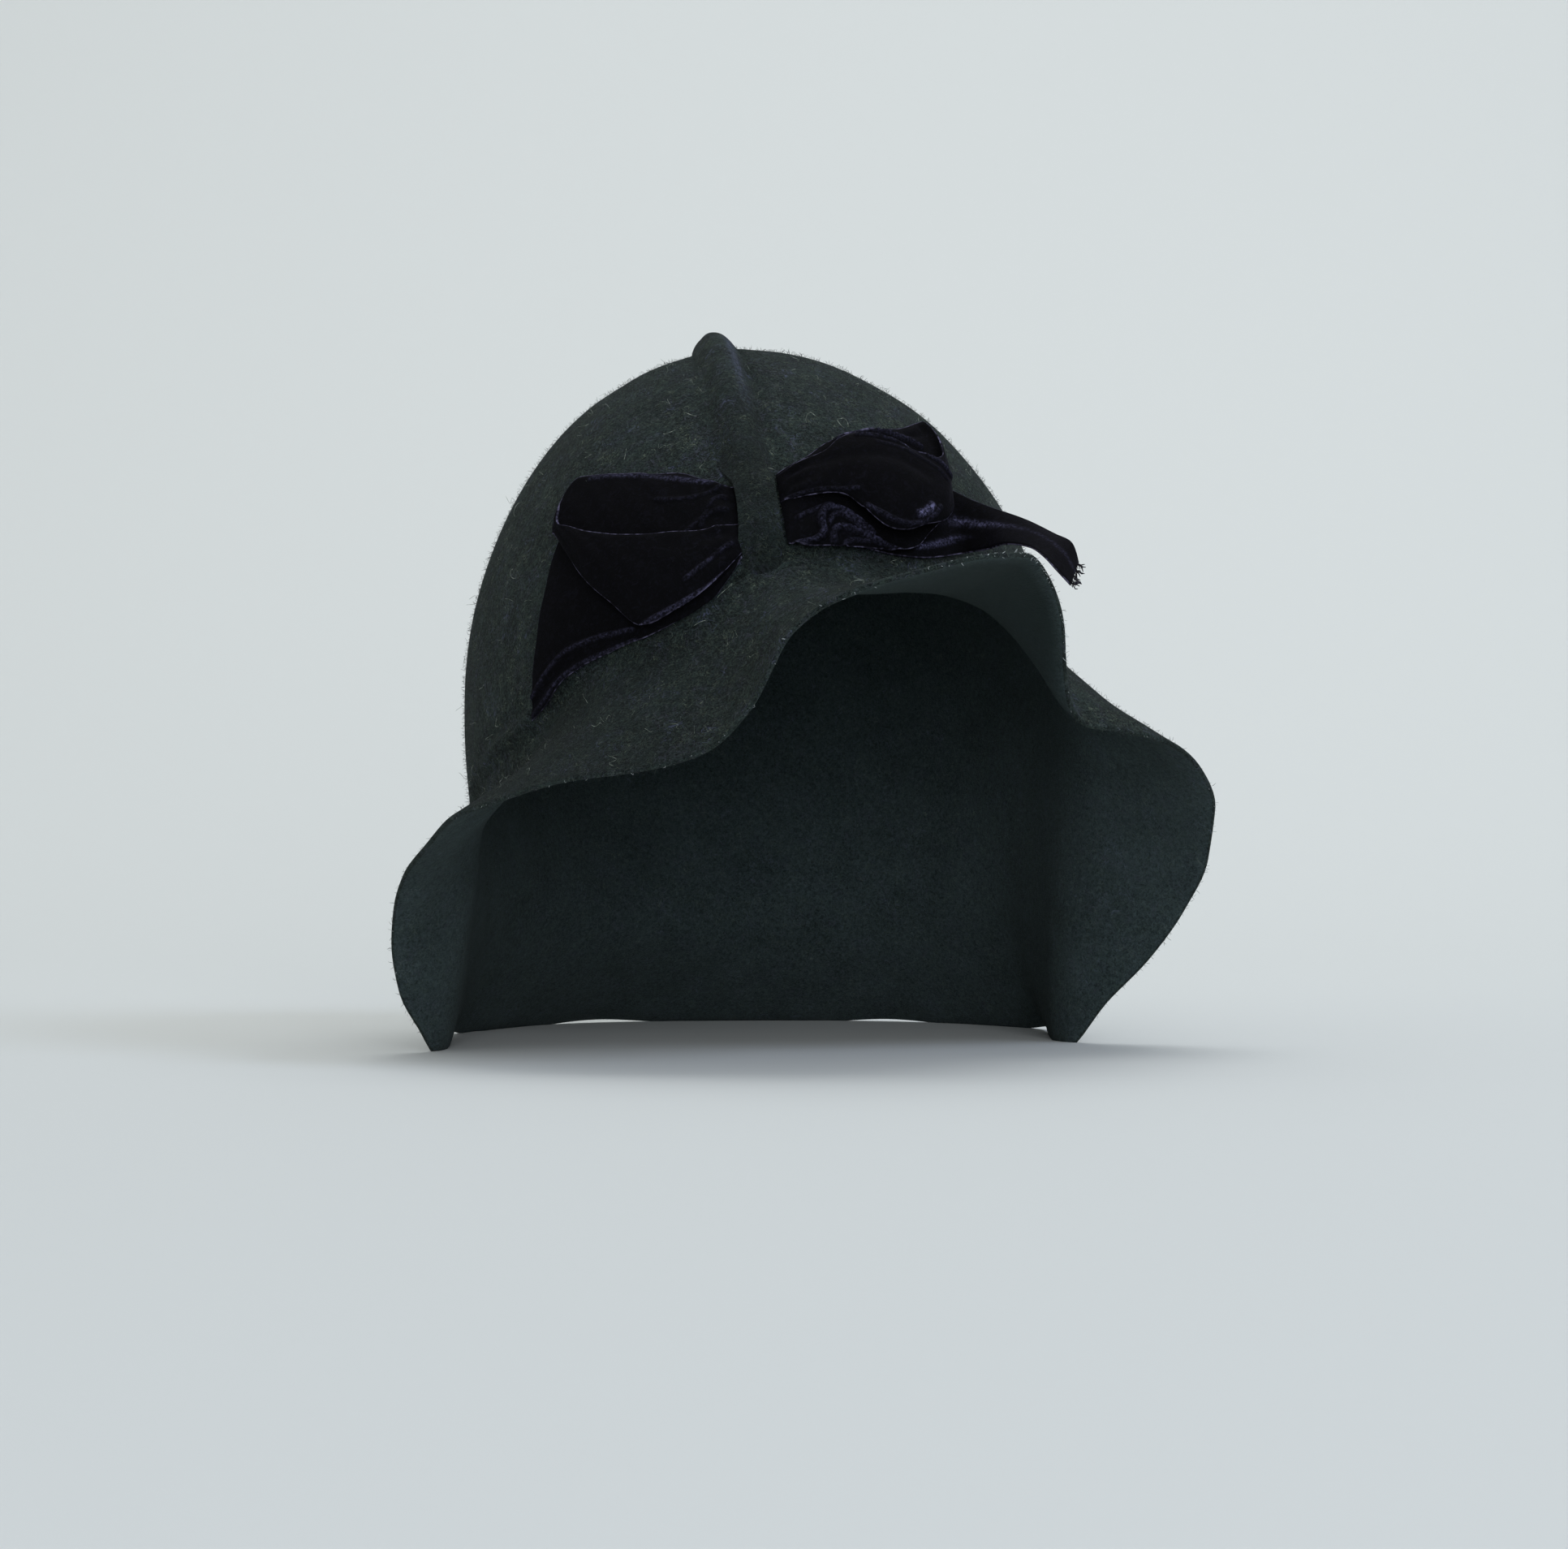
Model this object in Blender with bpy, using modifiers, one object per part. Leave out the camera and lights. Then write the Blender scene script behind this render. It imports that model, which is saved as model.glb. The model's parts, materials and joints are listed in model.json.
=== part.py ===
"""Cloche hat: a one-piece felt crown and brim with a stitched felt ridge and a ribbon bow.

Metres, +Z up. The hat stands on the lowest stretches of its brim at z = 0, its front faces -Y,
and the middle of its outline is over the origin.
"""

import math
from collections import namedtuple

import bmesh
import bpy
import numpy as np
from mathutils import Vector

HAT_NAME = "cloche_hat"

# Crown: a leaning half ellipsoid, measured on the felt's outer side
CROWN_WIDTH = 0.162
CROWN_LENGTH = 0.188
CROWN_RISE = 0.106
CROWN_SEAT = 0.0815
CROWN_SET_BACK = 0.010
CROWN_SET_RIGHT = 0.001
CROWN_LEAN = math.radians(7.0)
CROWN_TILT = math.radians(12.0)

# Brim: overall size of its outer edge, and how boldly it turns out of the crown
BRIM_WIDTH = 0.215
BRIM_LENGTH = 0.2285
BRIM_LIFT = 0.128
BRIM_BREAK = 0.24
BRIM_FLARE = 0.45

# Felt and its sections
FELT_THICKNESS = 0.0022
FELT_SECTIONS = 76
CROWN_RINGS = 12
BRIM_RINGS = 7

# Ridge: a tuck of felt stitched along the crown's front
RIDGE_WIDTH = 0.0125
RIDGE_HEIGHT = 0.0070
RIDGE_STEPS = 3
RIDGE_SIDES = 8

# Ribbon bow
RIBBON_THICKNESS = 0.0011
BOW_DEPTH = 0.0090
RIBBON_STEPS = 3
RIBBON_CELLS = 6

# Space left between pieces that touch
CLEARANCE = 0.0004

# Colours, linear
FELT_COLOUR = (0.036, 0.042, 0.039, 1.0)
RIDGE_COLOUR = (0.040, 0.046, 0.043, 1.0)
RIBBON_COLOUR = (0.0075, 0.0055, 0.0125, 1.0)
TAIL_COLOUR = (0.0060, 0.0050, 0.0105, 1.0)

# The brim, section by section. turn: degrees round the crown from the front, + to the right.
# break_rise: height of the crown's foot over its widest level, as a share of CROWN_RISE.
# side, ahead, lift: the outer edge, as shares of BRIM_WIDTH, BRIM_LENGTH and BRIM_LIFT.
Section = namedtuple("Section", "turn break_rise side ahead lift")
SECTIONS = [
    Section(-180, -0.26, 0.005, -0.525, -0.008),
    Section(-153, -0.24, -0.220, -0.478, 0.014),
    Section(-128, -0.18, -0.368, -0.330, -0.008),
    Section(-110, -0.15, -0.408, -0.200, 0.016),
    Section(-96, -0.13, -0.404, -0.068, -0.006),
    Section(-86, -0.12, -0.396, 0.022, -0.010),
    Section(-81, -0.12, -0.402, 0.060, -0.008),
    Section(-77, -0.12, -0.419, 0.086, 0.050),
    Section(-73, -0.12, -0.440, 0.105, 0.125),
    Section(-69, -0.12, -0.447, 0.129, 0.215),
    Section(-64, -0.12, -0.442, 0.158, 0.297),
    Section(-58, -0.11, -0.428, 0.197, 0.365),
    Section(-50, -0.08, -0.395, 0.263, 0.433),
    Section(-43, -0.04, -0.358, 0.319, 0.495),
    Section(-36, 0.02, -0.314, 0.368, 0.521),
    Section(-25, 0.07, -0.226, 0.421, 0.564),
    Section(-14, 0.12, -0.127, 0.452, 0.588),
    Section(-7, 0.16, -0.062, 0.459, 0.622),
    Section(-2, 0.21, -0.015, 0.460, 0.700),
    Section(3, 0.24, 0.033, 0.462, 0.845),
    Section(9, 0.25, 0.093, 0.470, 0.914),
    Section(18, 0.24, 0.184, 0.475, 0.962),
    Section(26, 0.23, 0.257, 0.455, 0.992),
    Section(32, 0.22, 0.302, 0.416, 0.998),
    Section(38, 0.21, 0.334, 0.355, 0.950),
    Section(45, 0.20, 0.353, 0.298, 0.868),
    Section(51, 0.18, 0.359, 0.246, 0.790),
    Section(56, 0.17, 0.366, 0.216, 0.720),
    Section(61, 0.15, 0.390, 0.194, 0.670),
    Section(66, 0.14, 0.434, 0.178, 0.660),
    Section(71, 0.13, 0.486, 0.152, 0.640),
    Section(76, 0.12, 0.530, 0.110, 0.585),
    Section(81, 0.11, 0.553, 0.060, 0.500),
    Section(86, 0.10, 0.549, 0.012, 0.392),
    Section(91, 0.09, 0.523, -0.024, 0.285),
    Section(95, 0.07, 0.482, -0.048, 0.182),
    Section(99, 0.05, 0.432, -0.068, 0.090),
    Section(104, 0.02, 0.390, -0.092, -0.006),
    Section(111, -0.02, 0.374, -0.130, -0.008),
    Section(120, -0.06, 0.374, -0.190, -0.006),
    Section(134, -0.12, 0.374, -0.305, 0.014),
    Section(147, -0.17, 0.310, -0.410, -0.006),
    Section(164, -0.23, 0.165, -0.500, 0.012),
]

# The ridge. run: place along the crown's front, 0 at the crown's pole and 1 at the break.
# across: offset to the right; wide and high: size there. Shares of RIDGE_WIDTH and RIDGE_HEIGHT.
Ridge = namedtuple("Ridge", "run across wide high")
RIDGE = [
    Ridge(-0.070, 0.00, 0.45, 0.30),
    Ridge(-0.030, 0.00, 0.82, 0.80),
    Ridge(0.050, 0.01, 1.00, 1.00),
    Ridge(0.160, 0.03, 0.98, 1.00),
    Ridge(0.300, 0.08, 0.84, 0.76),
    Ridge(0.440, 0.18, 0.74, 0.62),
    Ridge(0.580, 0.25, 0.64, 0.52),
    Ridge(0.700, 0.27, 0.61, 0.50),
    Ridge(0.790, 0.33, 0.70, 0.55),
    Ridge(0.840, 0.40, 0.85, 0.60),
    Ridge(0.910, 0.41, 0.87, 0.56),
    Ridge(0.960, 0.37, 0.74, 0.42),
    Ridge(0.985, 0.36, 0.50, 0.26),
]

# A ribbon, section by section along its length. away_top, away_low: degrees round the crown
# from the ridge's side to the ribbon's upper and lower edge. run_top, run_low: those edges'
# place down the hat, 1 at the break and 2 at the brim's edge. layer: how many ribbon layers it
# lies over. puff: how far it stands off, and belly: its rise across, as shares of BOW_DEPTH.
Fold = namedtuple("Fold", "away_top run_top away_low run_low layer puff belly")

LOOP_LEFT = [
    Fold(0.0, 0.825, 0.0, 0.930, 0.0, 0.00, 0.06),
    Fold(8.0, 0.725, 8.0, 0.900, 0.0, 0.02, 0.08),
    Fold(19.0, 0.680, 19.0, 0.865, 0.0, 0.04, 0.08),
    Fold(28.5, 0.645, 28.0, 0.820, 0.0, 0.08, 0.06),
    Fold(33.5, 0.625, 33.0, 0.755, 0.2, 0.16, 0.04),
    Fold(35.6, 0.645, 35.4, 0.725, 1.0, 0.22, 0.02),
    Fold(34.0, 0.700, 34.2, 0.752, 2.0, 0.24, 0.02),
    Fold(28.0, 0.755, 27.6, 0.845, 2.1, 0.22, 0.06),
    Fold(22.0, 0.790, 21.5, 0.930, 2.0, 0.22, 0.12),
    Fold(16.5, 0.815, 16.0, 1.000, 2.0, 0.20, 0.14),
    Fold(9.5, 0.850, 9.8, 1.000, 1.9, 0.16, 0.10),
    Fold(2.0, 0.885, 2.5, 0.975, 1.6, 0.10, 0.05),
]

TAIL_LEFT = [
    Fold(0.2, 0.955, 0.2, 0.992, 0.0, 0.00, 0.00),
    Fold(7.0, 0.945, 7.5, 1.015, 0.0, 0.02, 0.04),
    Fold(16.0, 0.910, 17.0, 0.995, 0.0, 0.02, 0.06),
    Fold(25.0, 0.870, 26.0, 0.990, 0.0, 0.03, 0.08),
    Fold(31.0, 0.820, 33.0, 0.990, 0.0, 0.04, 0.08),
    Fold(35.0, 0.785, 38.5, 0.985, 0.0, 0.05, 0.06),
    Fold(37.0, 0.770, 41.5, 0.985, 0.0, 0.06, 0.04),
]

LOOP_RIGHT = [
    Fold(0.0, 0.805, 0.0, 0.970, 1.0, 0.00, 0.04),
    Fold(6.0, 0.780, 6.0, 0.980, 1.0, 0.02, 0.06),
    Fold(11.0, 0.745, 11.0, 0.985, 1.0, 0.06, 0.06),
    Fold(17.0, 0.710, 18.0, 0.980, 1.0, 0.08, 0.06),
    Fold(27.0, 0.690, 26.0, 0.955, 1.0, 0.10, 0.06),
    Fold(37.0, 0.655, 32.0, 0.905, 1.2, 0.14, 0.04),
    Fold(41.5, 0.632, 35.0, 0.870, 2.0, 0.19, 0.02),
    Fold(39.0, 0.665, 33.0, 0.888, 3.0, 0.26, 0.02),
    Fold(31.0, 0.705, 27.0, 0.945, 3.1, 0.32, 0.10),
    Fold(22.0, 0.735, 19.0, 0.978, 3.0, 0.34, 0.14),
    Fold(13.0, 0.765, 12.5, 0.980, 2.9, 0.28, 0.12),
    Fold(4.0, 0.800, 4.5, 0.970, 2.4, 0.15, 0.06),
]

TAIL_RIGHT = [
    Fold(0.0, 0.850, 0.0, 0.930, 0.0, 0.00, 0.00),
    Fold(11.0, 0.850, 11.0, 0.930, 0.0, 0.00, 0.00),
    Fold(23.0, 0.840, 22.0, 0.930, 0.0, 0.00, 0.00),
    Fold(32.0, 0.815, 29.0, 0.925, 0.0, 0.00, 0.00),
    Fold(41.0, 0.790, 33.5, 0.920, 0.0, 0.02, 0.00),
]

# The right tail's free stretch. along: share of the way from where it leaves the crown to the
# brim's edge, at BRIDGE_TOP and BRIDGE_LOW degrees from the ridge's side. out: to the right of
# that straight line, and up: over it, as shares of BOW_DEPTH.
Span = namedtuple("Span", "along_top out_top up_top along_low out_low up_low")
BRIDGE_TOP = 33.0
BRIDGE_LOW = 27.0
BRIDGE = [
    Span(0.00, 0.00, 0.00, 0.00, 0.00, 0.00),
    Span(0.12, 0.29, 0.03, 0.21, 0.23, 0.19),
    Span(0.30, 0.46, 0.32, 0.49, 0.13, 0.46),
    Span(0.58, 0.43, 0.94, 0.78, 0.07, 0.50),
    Span(0.86, 0.29, 1.49, 1.01, -0.10, 0.36),
    Span(1.07, 0.07, 1.94, 1.17, -0.11, 0.03),
    Span(1.19, -0.17, 1.81, 1.20, 0.21, -0.38),
]


def clear_scene():
    """Remove whatever objects the scene starts with."""
    for item in list(bpy.data.objects):
        bpy.data.objects.remove(item, do_unlink=True)


def material(name, colour, roughness):
    """A plain Principled material."""
    made = bpy.data.materials.new(name)
    made.use_nodes = True
    shader = made.node_tree.nodes["Principled BSDF"]
    shader.inputs["Base Color"].default_value = colour
    shader.inputs["Roughness"].default_value = roughness
    shader.inputs["Metallic"].default_value = 0.0
    made.diffuse_color = colour
    return made


def smooth_round(turns, values, turn):
    """A smooth curve through values given at turns, closed after 360 degrees, with no overshoot."""
    xs = np.concatenate([turns - 360.0, turns, turns + 360.0])
    ys = np.concatenate([values, values, values])
    widths = np.diff(xs)
    slopes = np.diff(ys) / widths
    k = int(np.searchsorted(xs, turn)) - 1
    tangents = []
    for i in (k, k + 1):
        before, after = slopes[i - 1], slopes[i]
        if before * after <= 0.0:
            tangents.append(0.0)
            continue
        weight_1 = 2.0 * widths[i] + widths[i - 1]
        weight_2 = widths[i] + 2.0 * widths[i - 1]
        tangents.append((weight_1 + weight_2) / (weight_1 / before + weight_2 / after))
    t = (turn - xs[k]) / widths[k]
    start = ys[k] * (2 * t ** 3 - 3 * t ** 2 + 1) + ys[k + 1] * (3 * t ** 2 - 2 * t ** 3)
    sweep = tangents[0] * (t ** 3 - 2 * t ** 2 + t) + tangents[1] * (t ** 3 - t ** 2)
    return start + widths[k] * sweep


TURNS = np.array([row.turn for row in SECTIONS], float)
BREAK_RISES = np.array([row.break_rise for row in SECTIONS])
SIDES = np.array([row.side for row in SECTIONS])
AHEADS = np.array([row.ahead for row in SECTIONS])
LIFTS = np.array([row.lift for row in SECTIONS])


def crown_to_hat(side, back, up):
    """Turn a point of the upright crown into the leaning, tilted crown's place."""
    tilted_back = math.cos(CROWN_TILT) * back + math.sin(CROWN_TILT) * up
    tilted_up = math.cos(CROWN_TILT) * up - math.sin(CROWN_TILT) * back
    x = math.cos(CROWN_LEAN) * side - math.sin(CROWN_LEAN) * tilted_up
    z = math.sin(CROWN_LEAN) * side + math.cos(CROWN_LEAN) * tilted_up
    return np.array([CROWN_SET_RIGHT + x, CROWN_SET_BACK + tilted_back, CROWN_SEAT + z])


def edge_point(turn):
    """The brim's outer edge in the section at this turn."""
    x = BRIM_WIDTH * smooth_round(TURNS, SIDES, turn)
    y = -BRIM_LENGTH * smooth_round(TURNS, AHEADS, turn)
    z = BRIM_LIFT * smooth_round(TURNS, LIFTS, turn)
    return np.array([x, y, z])


def crown_point(turn, depth):
    """A point on the crown, depth being its angle down from the pole, in radians."""
    angle = math.radians(turn)
    if depth <= math.pi / 2:
        spread = math.sin(depth)
        up = CROWN_RISE * math.cos(depth)
    else:
        spread = 1.0
        up = -CROWN_RISE * (depth - math.pi / 2)
    side = CROWN_WIDTH / 2 * spread * math.sin(angle)
    back = -CROWN_LENGTH / 2 * spread * math.cos(angle)
    return crown_to_hat(side, back, up)


def break_depth(turn):
    """How far down from the pole the crown ends in this section, in radians."""
    rise = smooth_round(TURNS, BREAK_RISES, turn)
    if rise >= 0.0:
        return math.acos(rise)
    return math.pi / 2 - rise


def felt_point(turn, run):
    """A point on the felt's outer side: run is 0 at the pole, 1 at the break, 2 at the edge."""
    deepest = break_depth(turn)
    if run <= 1.0:
        return crown_point(turn, run * deepest)
    foot = crown_point(turn, deepest)
    down = foot - crown_point(turn, deepest * 0.97)
    down = down / np.linalg.norm(down)
    edge = edge_point(turn)
    length = np.linalg.norm(edge - foot)
    knee = foot + down * length * BRIM_BREAK
    rise = edge + (knee - edge) * BRIM_FLARE
    t = run - 1.0
    if t > 1.0:
        return edge + (edge - rise) * 3.0 * (t - 1.0)
    near = (1 - t) ** 3 * foot + 3 * (1 - t) ** 2 * t * knee
    return near + 3 * (1 - t) * t ** 2 * rise + t ** 3 * edge


def felt_normal(turn, run):
    """The outward direction of the felt there."""
    round_step = felt_point(turn + 0.6, run) - felt_point(turn - 0.6, run)
    down_step = felt_point(turn, run + 0.012) - felt_point(turn, run - 0.012)
    normal = np.cross(down_step, round_step)
    return normal / np.linalg.norm(normal)


def section_turns():
    """Turns of the felt's sections, closer together where the brim's edge swings out."""
    fine = np.linspace(-180.0, 180.0, 1441)
    edges = np.array([edge_point(turn) for turn in fine])
    steps = np.linalg.norm(np.diff(edges, axis=0), axis=1)
    steps = steps + 0.35 * CROWN_WIDTH / 2 * np.radians(np.diff(fine))
    passed = np.concatenate([[0.0], np.cumsum(steps)])
    wanted = np.arange(FELT_SECTIONS) * passed[-1] / FELT_SECTIONS
    return np.interp(wanted, passed, fine)


def finished(name, mesh, collection, parent, look):
    """Wrap a mesh in a named object of the hat."""
    item = bpy.data.objects.new(name, mesh)
    collection.objects.link(item)
    item.parent = parent
    mesh.materials.append(look)
    mesh.shade_smooth()
    mesh.set_sharp_from_angle(angle=math.radians(50.0))
    return item


def felt_loft():
    """The felt's outer side as one open surface, from the pole to the brim's edge."""
    runs = [(i + 1) / CROWN_RINGS for i in range(CROWN_RINGS)]
    runs += [1.0 + (j + 1) / BRIM_RINGS for j in range(BRIM_RINGS)]
    sheet = bmesh.new()
    pole = sheet.verts.new(Vector(crown_point(0.0, 0.0)))
    sections = []
    for turn in section_turns():
        sections.append([sheet.verts.new(Vector(felt_point(turn, run))) for run in runs])
    for i, section in enumerate(sections):
        following = sections[(i + 1) % len(sections)]
        sheet.faces.new((pole, section[0], following[0]))
        for j in range(len(runs) - 1):
            sheet.faces.new((section[j], section[j + 1], following[j + 1], following[j]))
    return sheet


def add_felt_body(collection, parent, look):
    """Crown and brim: the loft given its wall, then pressed flat where it rests."""
    sheet = felt_loft()
    mesh = bpy.data.meshes.new("felt_body")
    sheet.to_mesh(mesh)
    sheet.free()
    item = finished("felt_body", mesh, collection, parent, look)
    wall = item.modifiers.new("felt_wall", "SOLIDIFY")
    wall.thickness = FELT_THICKNESS
    wall.offset = -1.0
    wall.use_quality_normals = True
    bpy.context.view_layer.update()
    shell = bpy.data.meshes.new_from_object(item.evaluated_get(bpy.context.evaluated_depsgraph_get()))
    item.modifiers.remove(wall)
    for vertex in shell.vertices:
        vertex.co.z = max(vertex.co.z, 0.0)
    item.data = shell
    bpy.data.meshes.remove(mesh)
    return item


def ridge_point(run, across, height):
    """A point over the crown's front line: across to the right of it, height off the felt."""
    depth = run * break_depth(0.0)
    width = CROWN_WIDTH / 2
    spread = math.sqrt(1.0 - (across / width) ** 2)
    up = CROWN_RISE * math.cos(depth) * spread
    back = -CROWN_LENGTH / 2 * math.sin(depth) * spread
    normal = np.array([across / width ** 2, back / (CROWN_LENGTH / 2) ** 2, up / CROWN_RISE ** 2])
    normal = normal / np.linalg.norm(normal)
    place = np.array([across, back, up]) + normal * height
    return crown_to_hat(*place)


def interpolated(rows, steps):
    """Rows with steps sections from one row to the next, on a smooth curve through them all."""
    table = np.array(rows, float)
    last = len(table) - 1
    made = []
    for i in range(last):
        before = table[max(i - 1, 0)]
        after = table[min(i + 2, last)]
        for k in range(steps):
            t = k / steps
            pull = -before + 3 * table[i] - 3 * table[i + 1] + after
            bend = 2 * before - 5 * table[i] + 4 * table[i + 1] - after
            made.append(0.5 * (2 * table[i] + (table[i + 1] - before) * t + bend * t ** 2 + pull * t ** 3))
    made.append(table[last])
    return made


def add_ridge(collection, parent, look):
    """The stitched tuck: a low rounded roll that follows the crown."""
    roll = bmesh.new()
    rings = []
    for run, across, wide, high in interpolated(RIDGE, RIDGE_STEPS):
        ring = []
        for i in range(RIDGE_SIDES + 1):
            angle = math.pi * i / RIDGE_SIDES
            offset = RIDGE_WIDTH * (across + wide / 2 * math.cos(angle))
            height = CLEARANCE + RIDGE_HEIGHT * high * math.sin(angle) ** 0.8
            ring.append(roll.verts.new(Vector(ridge_point(run, offset, height))))
        ring.append(roll.verts.new(Vector(ridge_point(run, RIDGE_WIDTH * across, CLEARANCE))))
        rings.append(ring)
    for ring, following in zip(rings, rings[1:]):
        for i in range(len(ring)):
            k = (i + 1) % len(ring)
            roll.faces.new((ring[i], ring[k], following[k], following[i]))
    roll.faces.new(rings[0])
    roll.faces.new(reversed(rings[-1]))
    bmesh.ops.recalc_face_normals(roll, faces=roll.faces)
    mesh = bpy.data.meshes.new("crown_ridge")
    roll.to_mesh(mesh)
    roll.free()
    return finished("crown_ridge", mesh, collection, parent, look)


def ridge_side_turn(side):
    """Turn, in degrees, at which a ribbon meets the ridge's left (-1) or right (+1) side."""
    sides = [row.across + side * row.wide / 2 for row in RIDGE if row.run > 0.75]
    reach = RIDGE_WIDTH * side * max(side * value for value in sides) + side * 2 * CLEARANCE
    depth = 0.8 * break_depth(0.0)
    return math.degrees(math.asin(reach / (CROWN_WIDTH / 2 * math.sin(depth))))


def ribbon_lines(folds, side):
    """Lines across a ribbon that starts at the ridge's side and follows the given folds."""
    start = ridge_side_turn(side)
    lines = []
    for row in interpolated(folds, RIBBON_STEPS):
        fold = Fold(*row)
        base = CLEARANCE + RIBBON_THICKNESS / 2 + fold.layer * (RIBBON_THICKNESS + CLEARANCE)
        line = []
        for i in range(RIBBON_CELLS + 1):
            v = i / RIBBON_CELLS
            turn = start + side * (fold.away_top + v * (fold.away_low - fold.away_top))
            run = fold.run_top + v * (fold.run_low - fold.run_top)
            rise = base + BOW_DEPTH * (fold.puff + fold.belly * math.sin(math.pi * v))
            line.append(felt_point(turn, run) + felt_normal(turn, run) * rise)
        lines.append(line)
    return lines


def bridge_lines(first):
    """Lines across the right tail from its last line on the crown out over the brim's edge."""
    start = ridge_side_turn(1)
    edge_top = edge_point(start + BRIDGE_TOP)
    edge_low = edge_point(start + BRIDGE_LOW)
    lines = []
    for row in interpolated(BRIDGE, RIBBON_STEPS)[1:]:
        span = Span(*row)
        top = first[0] + (edge_top - first[0]) * span.along_top
        top = top + BOW_DEPTH * np.array([span.out_top, 0.0, span.up_top])
        low = first[-1] + (edge_low - first[-1]) * span.along_low
        low = low + BOW_DEPTH * np.array([span.out_low, 0.0, span.up_low])
        lines.append([top + (low - top) * i / RIBBON_CELLS for i in range(RIBBON_CELLS + 1)])
    return lines


def add_ribbon(name, lines, collection, parent, look):
    """A strip of ribbon through the given lines, with its thickness to both sides of them."""
    strip = bmesh.new()
    grid = [[strip.verts.new(Vector(place)) for place in line] for line in lines]
    for line, following in zip(grid, grid[1:]):
        for i in range(RIBBON_CELLS):
            strip.faces.new((line[i], line[i + 1], following[i + 1], following[i]))
    mesh = bpy.data.meshes.new(name)
    strip.to_mesh(mesh)
    strip.free()
    item = finished(name, mesh, collection, parent, look)
    wall = item.modifiers.new("ribbon_wall", "SOLIDIFY")
    wall.thickness = RIBBON_THICKNESS
    wall.offset = 0.0
    wall.use_quality_normals = True
    return item


def hat_middle():
    """Middle of the brim's outline in plan."""
    edges = np.array([edge_point(turn) for turn in section_turns()])
    return (edges.min(axis=0) + edges.max(axis=0)) / 2


def build_hat():
    """Every piece of the hat, under one empty that centres it over the origin."""
    clear_scene()
    collection = bpy.data.collections.new(HAT_NAME)
    bpy.context.scene.collection.children.link(collection)
    stand = bpy.data.objects.new("hat_stand_point", None)
    middle = hat_middle()
    stand.location = (-middle[0], -middle[1], 0.0)
    collection.objects.link(stand)

    felt = material("wool_felt", FELT_COLOUR, 0.95)
    tuck = material("wool_felt_tuck", RIDGE_COLOUR, 0.95)
    velvet = material("velvet_loop", RIBBON_COLOUR, 0.6)
    velvet_tail = material("velvet_tail", TAIL_COLOUR, 0.65)

    add_felt_body(collection, stand, felt)
    add_ridge(collection, stand, tuck)
    tail = ribbon_lines(TAIL_RIGHT, 1)
    tail += bridge_lines(tail[-1])
    add_ribbon("bow_loop_left", ribbon_lines(LOOP_LEFT, -1), collection, stand, velvet)
    add_ribbon("bow_tail_left", ribbon_lines(TAIL_LEFT, -1), collection, stand, velvet_tail)
    add_ribbon("bow_loop_right", ribbon_lines(LOOP_RIGHT, 1), collection, stand, velvet.copy())
    add_ribbon("bow_tail_right", tail, collection, stand, velvet_tail.copy())
    bpy.context.view_layer.update()


build_hat()
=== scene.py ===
"""The looks of a felt cloche hat with a velvet ribbon bow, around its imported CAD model.

Metres, +Z up. The hat stands on its brim at z = 0 and its front faces -Y.
"""

import json
import math
import random
from collections import namedtuple

import bpy
import numpy as np
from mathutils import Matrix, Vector

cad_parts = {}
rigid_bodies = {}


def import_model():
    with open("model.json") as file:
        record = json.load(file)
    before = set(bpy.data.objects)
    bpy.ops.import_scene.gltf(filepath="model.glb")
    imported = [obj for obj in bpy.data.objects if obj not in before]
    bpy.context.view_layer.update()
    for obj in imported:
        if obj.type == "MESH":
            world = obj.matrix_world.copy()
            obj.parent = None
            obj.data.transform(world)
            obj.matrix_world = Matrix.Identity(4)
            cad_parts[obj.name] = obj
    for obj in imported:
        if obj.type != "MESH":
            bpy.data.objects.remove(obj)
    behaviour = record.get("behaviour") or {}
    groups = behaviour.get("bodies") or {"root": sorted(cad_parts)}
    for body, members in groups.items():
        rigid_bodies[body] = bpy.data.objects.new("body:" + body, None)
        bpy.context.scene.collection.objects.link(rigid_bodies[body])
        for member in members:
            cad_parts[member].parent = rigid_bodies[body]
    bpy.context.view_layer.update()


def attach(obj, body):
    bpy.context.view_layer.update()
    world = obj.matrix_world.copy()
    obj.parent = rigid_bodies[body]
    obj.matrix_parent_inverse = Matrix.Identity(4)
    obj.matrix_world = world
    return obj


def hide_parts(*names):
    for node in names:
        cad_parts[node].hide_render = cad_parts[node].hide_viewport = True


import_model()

# Crown: a leaning half ellipsoid, measured on the felt's outer side
CROWN_WIDTH = 0.162
CROWN_LENGTH = 0.188
CROWN_RISE = 0.106
CROWN_SEAT = 0.0815
CROWN_SET_BACK = 0.010
CROWN_SET_RIGHT = 0.001
CROWN_LEAN = math.radians(7.0)
CROWN_TILT = math.radians(12.0)

# Brim: overall size of its outer edge, and how boldly it turns out of the crown
BRIM_WIDTH = 0.215
BRIM_LENGTH = 0.2285
BRIM_LIFT = 0.128
BRIM_BREAK = 0.24
BRIM_FLARE = 0.45

# Felt wall, and the fineness of its surface. CAD_SECTIONS: sections of the CAD model's felt.
# EVEN_SHARE: how much the sections keep to even steps round the crown.
FELT_THICKNESS = 0.0022
FELT_SECTIONS = 320
CAD_SECTIONS = 76
FINE_TURNS = 1441
EVEN_SHARE = 0.35
CROWN_RINGS = 84
BRIM_RINGS = 56
INNER_SHARE = 3
RIM_ROWS = 4
RIM_ROUND = 0.00045
RIM_THICKNESS = 0.0013
RIM_FROM = 1.88

# Steps in turn and run over which directions on the felt are measured
NORMAL_TURN = 0.6
NORMAL_RUN = 0.012
EDGE_RUN = 1.97

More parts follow.
